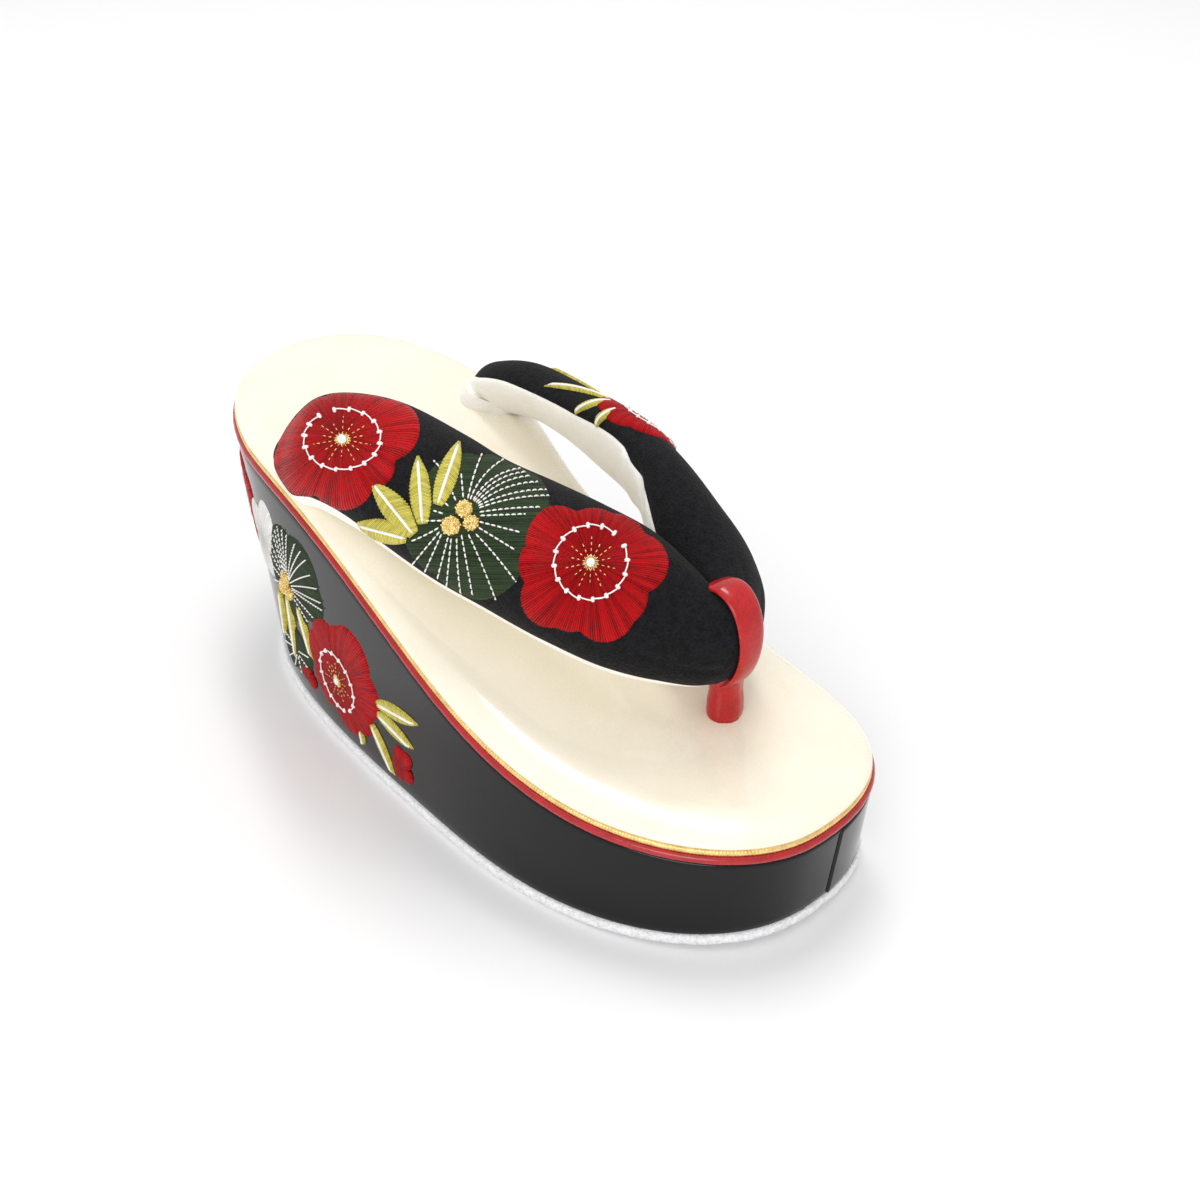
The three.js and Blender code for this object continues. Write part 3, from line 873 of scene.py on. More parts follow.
def lining(strap, name):
    """The velvet lining: a thin closed sheet on the underside of a strap."""
    t = np.linspace(0, LININGS[strap.name][-1][0], LINING_STEPS)
    first, last = lining_span(strap, t)
    share = (1 - np.cos(np.linspace(0, np.pi, LINING_SPANS))) / 2
    angle = first[:, None] + (last - first)[:, None] * share
    edge = 1 - (2 * share - 1) ** LINING_EDGE
    pleat = LINING_PLEAT["height"] * np.cos(angle * LINING_PLEAT["waves"] + LINING_PLEAT["start"])
    pleat = pleat * bell(t, LINING_PLEAT["reach"])[:, None]
    slack = LINING_SLACK[strap.name] * bell(t, SLACK_REACH)[:, None]
    slack = slack * np.sin(np.pi * np.clip((share - SLACK_FROM) / (1 - SLACK_FROM), 0, 1))
    fold_at, fold_high = LINING_FOLD[strap.name]
    fold = fold_high * bell(t - fold_at, FOLD_REACH)[:, None] * share
    lift = LINING_ROOT + (LINING_LIFT - LINING_ROOT + pleat + fold) * edge + slack
    over = strap.points(t[:, None], angle, lift)
    under = strap.points(t[:, None], angle[:, 1:-1], LINING_ROOT)
    rings = np.concatenate([over, under[:, ::-1]], axis=1)
    bits = Bits()
    bits.rings(rings)
    piece = bits.piece(name, FINISH["lining"])
    steps = np.linalg.norm(np.cross(np.diff(over, axis=0)[:, :-1], np.diff(over, axis=1)[:-1]), axis=2)
    length = float(np.linalg.norm(np.diff(over[:, LINING_LINE], axis=0), axis=1).sum()) * MM
    width = float(np.linalg.norm(np.diff(over, axis=1), axis=2).sum(axis=1).max()) * MM


# Camera

PHOTO_PX = 1200
FOCAL_PX = 1526.47
EYE = np.array([303.337, -215.887, 285.608])
TARGET = np.array([0.257, 34.125, 30.0])
ROLL = -0.0053


def facing_axes(face):
    """Right, up and face directions of a plane that faces a direction."""
    face = np.array(face, float) / np.linalg.norm(face)
    right = np.cross([0, 0, 1.0], face)
    right /= np.linalg.norm(right)
    return right, np.cross(face, right), face


def camera_axes():
    """Right, up and back directions of the camera."""
    right, up, back = facing_axes(EYE - TARGET)
    level, tilt = math.cos(ROLL), math.sin(ROLL)
    return level * right - tilt * up, tilt * right + level * up, back


# Embroidery

HOOP_STAND = 80
EDGE_HALVINGS = 10
EDGE_FACING = 0.05
SOFT_FACING = 0.5
EDGE_BLUR = 6


def blurred(values):
    """Values round a ring, the second axis, each averaged with its neighbours."""
    weights = np.hanning(2 * EDGE_BLUR + 3)[1:-1]
    weights = weights / weights.sum()
    steps = range(-EDGE_BLUR, EDGE_BLUR + 1)
    return sum(weight * np.roll(values, step, axis=1) for step, weight in zip(steps, weights))


class Hoop:
    """A flat drawing plane from which embroidery is laid on a surface.

    Points are in millimetres to the right of and above the plane's origin. Lines run from the eye, or
    straight along the plane's own direction where there is no eye.
    """

    def __init__(self, tree, origin, right, up, eye=None):
        self.tree = tree
        self.origin = np.array(origin, float)
        self.right = np.array(right, float)
        self.up = np.array(up, float)
        self.face = np.cross(self.right, self.up)
        self.eye = eye

    def shot(self, flat, facing=EDGE_FACING):
        """Where the line through a point of the drawing meets the surface, and the direction it faces.

        There is no such place where the surface turns away from the drawing.
        """
        spot = self.origin + flat[0] * self.right + flat[1] * self.up
        start = self.eye if self.eye is not None else spot + self.face * HOOP_STAND
        way = Vector(spot - start).normalized()
        hit, normal = self.tree.ray_cast(Vector(start), way)[:2]
        if hit is None or abs(normal.dot(way)) < facing:
            return None, None
        return hit, -normal if normal.dot(way) > 0 else normal

    def edge_share(self, home, spot):
        """How much of the way from a home point to a spot stays on the surface."""
        if self.shot(spot)[0] is not None:
            return 1.0
        near, far = 0.0, 1.0
        for _ in range(EDGE_HALVINGS):
            share = (near + far) / 2
            if self.shot(home + (spot - home) * share)[0] is None:
                far = share
            else:
                near = share
        return near

    def reach(self, centre, way, wanted):
        """Wanted distances from a centre, shortened where the surface turns away."""
        home = np.asarray(centre, float)
        share = np.array([self.edge_share(home, home + step * far) for step, far in zip(way, wanted)])
        return wanted * blurred(share[None])[0]

    def lay(self, flat, lift):
        """Points on the surface under the drawing, raised by lift, and the directions they face.

        A point past the surface's edge is drawn back toward the middle of the drawing, to the edge.
        """
        flat = np.asarray(flat, float)
        lift = np.broadcast_to(np.asarray(lift, float), len(flat))
        home = flat.mean(axis=0)
        points = np.empty((len(flat), 3))
        faces = np.empty((len(flat), 3))
        for index, spot in enumerate(flat):
            hit, normal = self.shot(spot)
            if hit is None:
                spot = home + (spot - home) * self.edge_share(home, spot)
                hit, normal = self.shot(spot, 0.0)
            faces[index] = normal
            points[index] = np.array(hit) + np.array(normal) * lift[index]
        return points, faces

    def lay_rings(self, flat, lift):
        """Rings of a patch laid on the surface, smoothed along themselves where it turns away."""
        laid = self.lay(flat.reshape(-1, 2), 0.0)
        points, faces = (rows.reshape(*flat.shape[:2], 3) for rows in laid)
        if self.eye is not None:
            sight = self.eye - points
        else:
            sight = np.broadcast_to(self.face, points.shape)
        facing = np.sum(faces * sight, axis=2, keepdims=True)
        facing = facing / np.linalg.norm(sight, axis=2, keepdims=True)
        soft = blurred(np.clip(1 - facing / SOFT_FACING, 0, 1))
        points = points + (blurred(points) - points) * soft
        for place in np.argwhere(soft[..., 0] > 0):
            spot = tuple(place)
            hit, normal = self.tree.find_nearest(Vector(points[spot]))[:2]
            faces[spot] = normal if normal.dot(Vector(faces[spot])) > 0 else -normal
            points[spot] = hit
        return points + faces * lift[..., None]


THREAD_WIDE = 0.42
PATCH_SINK = -0.35
LOBE_SOFT = 0.5
SCALLOPS = 83
PATCH_DOME = 9
NOTCH = {"width": 0.9, "from": 0.45, "over": 0.4, "depth": 0.22}
RADIAL_AT = 0.7
LEAF = {"steps": 42, "spans": 9, "blunt": 0.07, "bias": 0.85, "thin": 0.02, "tooth": 0.055, "under": 0.15}
LEAF_POINT = {"base": 0.7, "gain": 0.4}
LEAF_DOME = {"power": 5, "groove": 0.3, "groove_wide": 0.16, "full": 2.2}
LEAF_SLANT = 0.5
STITCH_SIDES = 6
STITCH_END = {"pace": 0.9, "start": 0.25, "sink": 0.3, "thin": 0.45, "gain": 0.55}
DASH_POINTS = 4
DASH_LEAST = 0.3
KNOT_LUMP = 0.16
KNOT_SINK = 0.6


def lobed_reach(lobes, angle):
    """Reach of a scalloped outline made of round lobes (x, y, radius), and how near a notch it is."""
    way = spokes(angle)
    reaches = []
    for x, y, radius in lobes:
        along = way @ np.array([x, y])
        inside = along ** 2 - x * x - y * y + radius * radius
        reaches.append(np.where(inside >= 0, along + np.sqrt(np.maximum(inside, 0)), 0))
    reaches = np.sort(np.array(reaches), axis=0)
    smooth = LOBE_SOFT * np.log(np.sum(np.exp((reaches - reaches[-1]) / LOBE_SOFT), axis=0))
    return reaches[-1] + smooth, bell(reaches[-1] - reaches[-2], NOTCH["width"])


def quad_threads(rows, cols, corner):
    """Thread places at the corners of a grid's quads."""
    return [corner(row + down, col + over) for row in range(rows - 1) for col in range(cols)
            for down, over in ((0, 0), (0, 1), (1, 1), (1, 0))]


def lobed_patch(bits, hoop, centre, lobes, height=0.9, radial=True, scallop=0.1, turns=240,
                rings=12):
    """A raised patch of satin stitch with a scalloped outline, its threads radial or level."""
    angle = round_angles(turns)
    reach, notch = lobed_reach(lobes, angle)
    reach = reach + scallop * np.cos(angle * SCALLOPS)
    share = np.sin(np.linspace(0, 1, rings + 1)[1:] * np.pi / 2)
    way = spokes(angle)
    reach = hoop.reach(centre, way, reach)
    flat = np.asarray(centre) + way[None] * (reach[None, :] * share[:, None])[..., None]
    groove = notch[None, :] * np.clip((share[:, None] - NOTCH["from"]) / NOTCH["over"], 0, 1)
    dome = np.sqrt(1 - share[:, None] ** PATCH_DOME)
    lift = PATCH_SINK + (height - PATCH_SINK) * dome * (1 - NOTCH["depth"] * groove)
    points = hoop.lay_rings(flat, lift).reshape(-1, 3)
    poles, _ = hoop.lay([centre, centre], [height, PATCH_SINK])
    faces = grid_faces(rings, turns) + pole_faces(rings, turns)
    corner = lambda ring, turn: thread_place(angle, reach, share, ring, turn, radial)
    threads = quad_threads(rings, turns, corner)
    for turn in range(turns):
        threads += [corner(-1, turn), corner(0, turn + 1), corner(0, turn)]
        threads += [corner(-1, turn), corner(rings - 1, turn), corner(rings - 1, turn + 1)]
    bits.add(np.vstack([points, poles]), faces, threads)


def thread_place(angle, reach, share, ring, turn, radial):
    """Thread number and distance along the thread at a point of a patch."""
    turns = len(angle)
    out = reach[turn % turns] * (share[ring] if ring >= 0 else 0.0)
    if radial:
        count = 2 * math.pi * float(reach.mean()) * RADIAL_AT / THREAD_WIDE
        return (turn / turns * round(count), out)
    way = angle[turn % turns]
    return (out * math.sin(way) / THREAD_WIDE, out * math.cos(way))


def leaf(bits, hoop, base, tip, half, height):
    """A bamboo leaf in slanting satin stitch, blunt at its base and pointed at its tip."""
    steps, spans = LEAF["steps"], LEAF["spans"]
    base, tip = np.array(base, float), np.array(tip, float)
    length = np.linalg.norm(tip - base)
    way = (tip - base) / length
    side = np.array([-way[1], way[0]])
    along = np.linspace(0, 1, steps)
    place = np.clip(along * (1 - LEAF["blunt"]) + LEAF["blunt"], 0, 1) ** LEAF["bias"]
    belly = np.clip(np.sin(np.pi * place), LEAF["thin"], 1)
    wide = half * belly ** (LEAF_POINT["base"] + LEAF_POINT["gain"] * along)
    wide = wide * (1 + LEAF["tooth"] * (-1.0) ** np.arange(steps))
    span = np.linspace(-1, 1, spans)
    flat = base + way * (along * length)[:, None, None] + side * (wide[:, None] * span)[..., None]
    groove = LEAF_DOME["groove"] * bell(span, LEAF_DOME["groove_wide"])
    dome = np.sqrt(1 - np.abs(span) ** LEAF_DOME["power"]) * (1 - groove)
    full = np.clip(wide[:, None] / half * LEAF_DOME["full"], 0, 1)
    lift = PATCH_SINK + (height - PATCH_SINK) * dome * full
    over, _ = hoop.lay(flat.reshape(-1, 2), lift.ravel())
    under, _ = hoop.lay(flat[:, [-1, 0]].reshape(-1, 2), PATCH_SINK - LEAF["under"])
    rings = np.concatenate([over.reshape(steps, spans, 3), under.reshape(steps, 2, 3)], axis=1)
    cols = spans + 2
    reach = np.concatenate([span, [1, -1]])

    def corner(step, col):
        out = reach[col % cols] * wide[step]
        return ((along[step] * length + LEAF_SLANT * abs(out)) / THREAD_WIDE, out)

    threads = quad_threads(steps, cols, corner)
    for step in (0, steps - 1):
        threads += [corner(step, col) for col in range(cols)]
    bits.add(rings, grid_faces(steps, cols) + cap_faces(steps, cols), threads)


def stitch(bits, hoop, path, base, thread):
    """One thread laid along a path on a base, its ends going down into the cloth."""
    path = np.asarray(path, float)
    count = len(path)
    share = np.linspace(0, 1, count)
    from_end = np.minimum(share, 1 - share) * (count - 1)
    swell = np.clip(from_end * STITCH_END["pace"] + STITCH_END["start"], 0, 1)
    points, faces = hoop.lay(path, base + thread["rise"] + (swell - 1) * STITCH_END["sink"])
    along = unit(np.gradient(points, axis=0), TINY)
    side = unit(np.cross(along, faces), TINY)
    angle = round_angles(STITCH_SIDES)
    wide = thread["half"] * (STITCH_END["thin"] + STITCH_END["gain"] * swell)
    bits.rings(round_rings(points, side, faces, wide[:, None], angle))


def running_stitch(bits, hoop, path, base, thread):
    """Dashes of thread along a path on a base."""
    path = np.asarray(path, float)
    run = run_along(path)
    start = 0.0
    while start < run[-1] - DASH_LEAST:
        place = np.linspace(start, min(start + thread["dash"], run[-1]), DASH_POINTS)
        stitch(bits, hoop, walk(path, run, place), base, thread)
        start += thread["dash"] + thread["gap"]


def knot(bits, hoop, centre, radius, height, base, seed, turns, rings):
    """A round knot of thread standing on a patch; with a seed it is lumpy."""
    angle = round_angles(turns)
    share = np.linspace(0, 1, rings + 1)[1:]
    flat = np.asarray(centre) + spokes(angle)[None] * (radius * share[:, None])[..., None]
    lift = base + height * np.sqrt(np.maximum(0, 1 - share[:, None] ** 2)) + 0 * angle
    if seed is not None:
        lift = lift + np.random.default_rng(seed).uniform(-KNOT_LUMP, KNOT_LUMP, lift.shape)
    lift[-1] = base - KNOT_SINK
    points, _ = hoop.lay(flat.reshape(-1, 2), lift.ravel())
    poles, _ = hoop.lay([centre, centre], [base + height, base - KNOT_SINK])
    bits.add(np.vstack([points, poles]), grid_faces(rings, turns) + pole_faces(rings, turns))


RING = {"gap": 0.22, "steps": 8, "wave": 0.05, "rise": 0.16, "half": 0.2}
BEAD = {"reach": 0.075, "points": 5, "rise": 0.2, "half": 0.5}
RAYS = {"count": 14, "start": 0.2, "from": 0.14, "to": (0.58, 0.78), "rise": 0.05, "dash": 1.0,
        "gap": 0.45, "half": 0.13}
TUFT = {"count": 22, "from": 0.1, "to": 0.21, "points": 4, "rise": 0.12, "half": 0.15}
HEART = {"radius": 1.25, "height": 0.75, "seed": 5, "turns": 18, "rings": 6}
HEART_RISE = 0.05
NEEDLE = {"points": 16, "rise": 0.12, "dash": 1.3, "gap": 0.3, "half": 0.23}
GOLD_KNOT = {"height": 1.4, "seed": 20, "turns": 34, "rings": 11, "beads": 40, "bead_turn": 2.4,
             "reach": 0.96, "sink": 0.12}
GOLD_BEAD = {"radius": 0.4, "height": 0.34, "seed": None, "turns": 8, "rings": 3}
MIDRIB = {"from": 0.02, "to": 0.86, "points": 14, "sunk": 0.8, "rise": 0, "half": 0.45}
BUD = {"scallop": 0.15, "turns": 90, "rings": 8}


class Silks:
    """The embroidery of one surface, gathered by thread."""

    KINDS = ("red_silk", "leaf_silk", "pine_silk", "white_silk", "white_thread", "gold_thread")

    def __init__(self, name, hoop):
        self.name = name
        self.hoop = hoop
        self.bits = {kind: Bits() for kind in self.KINDS}

    def plum(self, centre, lobes, ring, height=0.9):
        """A plum flower: red petals, a beaded white ring, gold stamens and a pale centre."""
        centre = np.array(centre, float)
        white, gold = self.bits["white_thread"], self.bits["gold_thread"]
        lobed_patch(self.bits["red_silk"], self.hoop, centre, lobes, height)
        heart = centre + ring["at"]
        radii = np.array(ring["radii"])
        spot_at = lambda angle, swell: heart + radii * swell * spokes(angle)
        beads = np.linspace(RING["gap"], 2 * np.pi - RING["gap"], ring["beads"])
        beads = math.radians(ring["gap"]) + beads
        place = np.linspace(beads[0], beads[-1], (ring["beads"] - 1) * RING["steps"] + 1)
        count = np.linspace(0, ring["beads"] - 1, len(place))
        wave = 1 + RING["wave"] * (count % 1 - 0.5)
        path = spot_at(place, wave[:, None])
        stitch(white, self.hoop, path, height, RING)
        for spot, angle in zip(spot_at(beads, 1.0), beads):
            bar = radii * BEAD["reach"] * np.array([math.cos(angle), math.sin(angle)])
            path = spot + np.linspace(-1, 1, BEAD["points"])[:, None] * bar
            stitch(white, self.hoop, path, height, BEAD)
        for index, angle in enumerate(round_angles(RAYS["count"]) + RAYS["start"]):
            far = RAYS["to"][index % 2]
            path = spot_at(np.full(2, angle), np.array([[RAYS["from"]], [far]]))
            running_stitch(gold, self.hoop, path, height, RAYS)
        span = np.linspace(TUFT["from"], TUFT["to"], TUFT["points"])[:, None]
        for angle in round_angles(TUFT["count"]):
            path = spot_at(np.full(TUFT["points"], angle), span)
            stitch(gold, self.hoop, path, height, TUFT)
        knot(white, self.hoop, heart, base=height + HEART_RISE, **HEART)

    def pine(self, centre, lobes, needles, knots, height=0.55):
        """A pine fan: dark green ground, pale needles in running stitch, gold knots."""
        centre = np.array(centre, float)
        lobed_patch(self.bits["pine_silk"], self.hoop, centre, lobes, height, False)
        share = np.linspace(0, 1, NEEDLE["points"])[:, None]
        for start, end, bow in needles:
            chord = np.array(end, float) - start
            side = np.array([-chord[1], chord[0]]) / np.linalg.norm(chord)
            path = centre + start + chord * share + side * (4 * bow * share * (1 - share))
            running_stitch(self.bits["white_thread"], self.hoop, path, height, NEEDLE)
        for index, (spot, radius) in enumerate(knots):
            self.gold_knot(centre + spot, radius, height, GOLD_KNOT["seed"] + index)

    def gold_knot(self, centre, radius, base, seed):
        """A padded knot of gold thread, its turns showing as small beads."""
        gold = self.bits["gold_thread"]
        high, beads = GOLD_KNOT["height"], GOLD_KNOT["beads"]
        knot(gold, self.hoop, centre, radius, high, base, seed, GOLD_KNOT["turns"], GOLD_KNOT["rings"])
        for index in range(beads):
            share = GOLD_KNOT["reach"] * math.sqrt((index + 0.5) / beads)
            angle = index * GOLD_KNOT["bead_turn"] + seed
            spot = centre + radius * share * np.array([math.cos(angle), math.sin(angle)])
            rise = base + high * math.sqrt(1 - share * share) - GOLD_KNOT["sink"]
            knot(gold, self.hoop, spot, base=rise, **GOLD_BEAD)

    def leaves(self, rows, height=0.8):
        """Bamboo leaves with a pale midrib."""
        share = np.linspace(MIDRIB["from"], MIDRIB["to"], MIDRIB["points"])[:, None]
        for base, tip, half in rows:
            leaf(self.bits["leaf_silk"], self.hoop, base, tip, half, height)
            path = np.array(base) + (np.array(tip) - np.array(base)) * share
            stitch(self.bits["white_thread"], self.hoop, path, height * MIDRIB["sunk"], MIDRIB)

    def bud(self, centre, lobes, height=0.8):
        """A small red bud."""
        lobed_patch(self.bits["red_silk"], self.hoop, centre, lobes, height, **BUD)

    def pieces(self):
        """One piece for each thread that was used."""
        for kind, bits in self.bits.items():
            if bits.points:
                bits.piece(self.name + "_" + kind, FINISH[kind])


OUTER_HOOP = {"depth": 396.5, "at": (-35.6, 21.0)}
REAR_PLUM = {
    "centre": (-31.5, 21.6),
    "lobes": [(12, 2, 8.5), (7.5, -7.5, 6.5), (0.5, -11.5, 8), (-10.5, -8, 8.3), (-10, -0.5, 7.5),
              (-7.5, 4.5, 6.5), (1.5, 4, 8.5), (8, 5, 7)],
    "ring": {"at": (0.7, -1.2), "radii": (9.7, 7.5), "gap": 115, "beads": 16},
}
FRONT_PLUM = {
    "centre": (33.2, -11.0),
    "lobes": [(-9, 6, 8.7), (0.5, 4.5, 9.6), (7, 5, 7.5), (12.5, -0.5, 7.9), (7, -9, 8),
              (3.5, -13, 8.2), (-5, -11.5, 7), (-10.5, -9.5, 7.9), (-12.5, -0.5, 6.8)],
    "ring": {"at": (0, -0.4), "radii": (9.3, 9.3), "gap": 38, "beads": 16},
}
STRAP_PINE = {
    "centre": (0, 0),
    "lobes": [(9, 3.5, 14), (0.5, 6, 11.5), (4, -9, 12.5), (-4, -3.5, 11.5)],
    "needles": [  # start, end, bow
        ((0.2, 5.5), (-0.5, 12.1), 0),
        ((1.4, 5.2), (4.8, 16.6), 0.3),
        ((2.0, 4.9), (10.4, 15.1), 1.2),
        ((2.7, 4.7), (14.8, 12.7), 1.8),
        ((3.0, 4.4), (16.2, 11.8), 1.7),
        ((3.5, 4.1), (17.8, 10.8), 1.6),
        ((3.9, 3.8), (19.5, 9.2), 1.4),
        ((4.1, 3.3), (21.7, 7.2), 1.1),
        ((4.3, 2.8), (22.4, 5.7), 0.8),
        ((4.4, 1.7), (20.2, 2.8), 0.3),
        ((4.6, 0.8), (16.4, 1.1), 0),
        ((4.3, -0.7), (14.9, -3.5), 0),
        ((4.2, -2.2), (13.7, -8.0), 0),
        ((3.5, -3.8), (14.1, -16.2), 0.3),
        ((1.6, -3.9), (8.9, -20.7), 0.2),
        ((-0.2, -4.0), (2.8, -19.3), 0),
        ((-1.4, -4.9), (-0.1, -19.9), -0.3),
        ((-2.8, -4.9), (-4.0, -17.5), 0),
        ((-3.6, -4.6), (-6.4, -15.4), 0),
        ((-5.3, -3.8), (-9.6, -13.4), 0),
        ((-5.8, -3.2), (-12.9, -11.5), 0),
        ((-6.1, -2.2), (-13.2, -5.5), 0.2),
        ((-5.3, -0.4), (-9.8, -0.4), 0),
        ((-5.0, 1.4), (-7.5, 2.2), 0),
        ((-3.6, 3.3), (-5.5, 5.0), 0),
        ((-1.7, 4.7), (-2.7, 6.9), 0),
        ((-6.1, 13.4), (-7.6, 15.0), 0),
    ],
    "knots": [((2.3, -1.0), 2.1), ((0.5, 2.5), 2.3), ((-2.8, -1.7), 2.6)],
}
STRAP_LEAF_HIGH = 0.95
STRAP_LEAVES = [  # base, tip, half width
    ((-6.4, 3.6), (-0.6, 21.4), 3.3),
    ((-10.2, -1.2), (-11.8, 17.6), 3.3),
    ((-12.4, -3.8), (-24.3, 10.7), 3.7),
    ((-14.4, -4.8), (-28.4, -0.8), 3.3),
]


def outer_strap_embroidery(tree):
    right, up, back = camera_axes()
    x, y = OUTER_HOOP["at"]
    origin = EYE - back * OUTER_HOOP["depth"] + right * x + up * y
    silks = Silks("outer_strap", Hoop(tree, origin, right, up, EYE))
    silks.pine(**STRAP_PINE)
    silks.leaves(STRAP_LEAVES, STRAP_LEAF_HIGH)
    silks.plum(**REAR_PLUM)
    silks.plum(**FRONT_PLUM)
    silks.pieces()


INNER_MAP = {"t": 0.481, "degrees": 73, "length": 188, "girth": 11}
INNER_PLUM = {
    "centre": (0, 0),
    "lobes": [(-9, -2, 8), (-5, 5.5, 7), (-0.5, 7.5, 7.3), (4.5, 5, 7.5), (5, -2, 7), (1, -7.5, 7),
              (-6, -7, 7)],
    "ring": {"at": (2, 0.4), "radii": (8.0, 7.2), "gap": 25, "beads": 15},
}
INNER_LEAF_HIGH = 0.75
INNER_LEAVES = [
    ((-16, -1), (-42, -1.5), 2.5),
    ((-15, -3.5), (-45, -8.5), 2.6),
    ((-10.5, 4.3), (-28, 13.2), 1.8),
    ((-8, 5.6), (-12.8, 20.8), 1.7),
    ((-3.2, 9), (-4.2, 21.8), 1.6),
]


class Unrolled:
    """A drawing unrolled from a strap: x runs along it toward the toe, y round it to its upper edge."""

    def __init__(self, strap, t, degrees, length, girth):
        self.strap = strap
        self.t = t
        self.angle = math.radians(degrees)
        self.length = length
        self.girth = girth

    def reach(self, centre, way, wanted):
        """Distances from a centre; the unrolled strap has no edge to shorten them."""
        return wanted

    def lay_rings(self, flat, lift):
        """Rings of a patch laid on the strap."""
        return self.lay(flat.reshape(-1, 2), lift.ravel())[0].reshape(*flat.shape[:2], 3)

    def lay(self, flat, lift):
        """Points on the strap under the drawing, raised by lift, and the directions they face."""
        flat = np.asarray(flat, float)
        t = self.t + flat[:, 0] / self.length
        angle = self.angle - flat[:, 1] / self.girth
        points = self.strap.points(t, angle, lift)
        faces = self.strap.points(t, angle, np.asarray(lift) + 1) - points
        return points, faces / np.linalg.norm(faces, axis=1)[:, None]


def inner_strap_embroidery():
    silks = Silks("inner_strap", Unrolled(INNER, **INNER_MAP))
    silks.leaves(INNER_LEAVES, INNER_LEAF_HIGH)
    silks.plum(**INNER_PLUM)
    silks.pieces()


WALL_PLUM = {
    "centre": (-21.5, 24),
    "lobes": [(9, 13, 10), (4, 12, 8.5), (14, 4, 9), (10, -5, 8.5), (3.5, -8.5, 8.5), (-8, -5, 8.8),
              (-10, 3, 8.6), (-6, 9.5, 8.7)],
    "ring": {"at": (0, 0), "radii": (9.6, 9.4), "gap": 300, "beads": 15},
}
WALL_PINE = {
    "centre": (-50.5, 41.8),
    "lobes": [(12, 11, 11), (2, 9, 12), (14, 5, 10.5), (-5, 3, 10.5), (4, -3, 9)],
    "needles": [
        ((0.2, 3.5), (-0.9, 19.9), 0),
        ((0.7, 3.6), (2.6, 20.5), 0.2),
        ((1.2, 3.6), (5.9, 20.6), 0.4),
        ((1.8, 3.4), (11.1, 19.9), 0.5),
        ((2.2, 3.2), (14.4, 19.0), 0.5),
        ((2.6, 3.0), (17.3, 17.6), 0.5),
        ((3.2, 2.4), (18.9, 13.3), 0.3),
        ((3.6, 1.6), (22.6, 10.6), 0.3),
        ((3.8, 1.0), (24.0, 6.5), 0),
        ((3.8, 0.4), (24.0, 4.1), 0),
        ((3.6, -0.6), (17.3, -2.1), 0),
        ((3.0, -1.8), (13.0, -6.0), 0),
        ((-0.4, 3.6), (-3.6, 17.5), 0),
        ((-1.0, 3.5), (-5.9, 14.5), 0),
        ((-2.0, 3.0), (-10.0, 11.0), 0),
        ((-3.0, 2.0), (-12.5, 6.5), 0),
        ((-3.6, 0.6), (-13.5, 0.6), 0),
        ((-3.4, -1.2), (-12.5, -5.0), 0),
    ],
    "knots": [((2.4, -1.6), 2.2), ((0.5, 2.6), 2.3), ((-2.4, -1.8), 2.5)],
}
LOW_PINE = {
    "centre": (-51, 17),
    "lobes": [(0, 1, 9), (6, 3, 6), (-7, -3, 6.5)],
    "needles": [
        ((-2.0, 2.0), (-10.0, 2.0), 0),
        ((-2.0, 1.0), (-11.5, -3.0), 0),
        ((-1.5, -1.0), (-9.0, -7.0), 0),
        ((0.0, -1.0), (-3.5, -7.0), 0),
        ((1.0, -1.0), (2.0, -7.0), 0),
        ((2.0, 0.0), (8.0, -1.0), 0),
        ((2.0, 1.5), (10.0, 4.0), 0),
    ],
    "knots": [],
}
WALL_LEAVES = [
    ((-52.4, 36.5), (-53.7, 9.7), 3.4),
    ((-60.0, 34.0), (-62.8, 13.5), 3.2),
    ((-44.5, 37.0), (-38.5, 20.0), 3.0),
    ((0.5, 28.6), (22.1, 33.3), 2.9),
    ((0.3, 24.8), (18.5, 22.5), 2.9),
    ((-4.0, 18.5), (6.6, 5.0), 2.5),
    ((-11.2, 11.5), (-10.2, 6.8), 1.5),
]
WALL_BUDS = [
    ((10.5, 12.5), [(-0.8, 3, 3.2), (2.5, 3.4, 2.9), (-2, -1, 2.9), (2.6, -2, 2.8), (-1.5, -3.4, 2.6)]),
    ((-43.4, 12.7), [(0, 0.5, 3.0), (2.4, -1.2, 2.4), (-2.6, -0.4, 2.6)]),
]
WALL_HOOP = {"origin": (0, -60, 0), "right": (1, 0, 0), "up": (0, 0, 1)}
HEEL_FAN = {
    "centre": (-69, 48),
    "lobes": [(3, 4, 7), (6.5, 11, 5.5), (-5, 3, 8), (-3, -5, 8), (2, -6, 6)],
    "height": 0.7,
}
HEEL_HOOP = {"at": (-97, -30, 0), "face": (-0.62, -0.78, 0)}
HEEL_PLUM = {
    "centre": (4.5, 52.5),
    "lobes": [(9, 4, 8.4), (7, -8, 8), (-5, -9, 7.5), (-10.5, 0, 7.5), (-5, 8.5, 7.5), (4.5, 8, 7.5)],
    "ring": {"at": (0, 0), "radii": (9.0, 9.0), "gap": 70, "beads": 15},
}
HEEL_LEAVES = [
    ((-8, 46), (-24, 34), 3.2),
    ((-11, 53), (-29, 57), 3.2),
    ((-3, 39), (-8, 20), 3.2),
]
WALL_TURNS = np.linspace(0, 2, 800, endpoint=False)
WALL_SHARES = np.linspace(-0.02, 1.02, 30)


def wall_tree():
    """The wedge's wall as a surface to lay embroidery on."""
    rings = np.array([wall_points(WALL_TURNS, share) for share in WALL_SHARES])
    faces = grid_faces(len(WALL_SHARES), len(WALL_TURNS))
    return BVHTree.FromPolygons(rings.reshape(-1, 3).tolist(), faces)


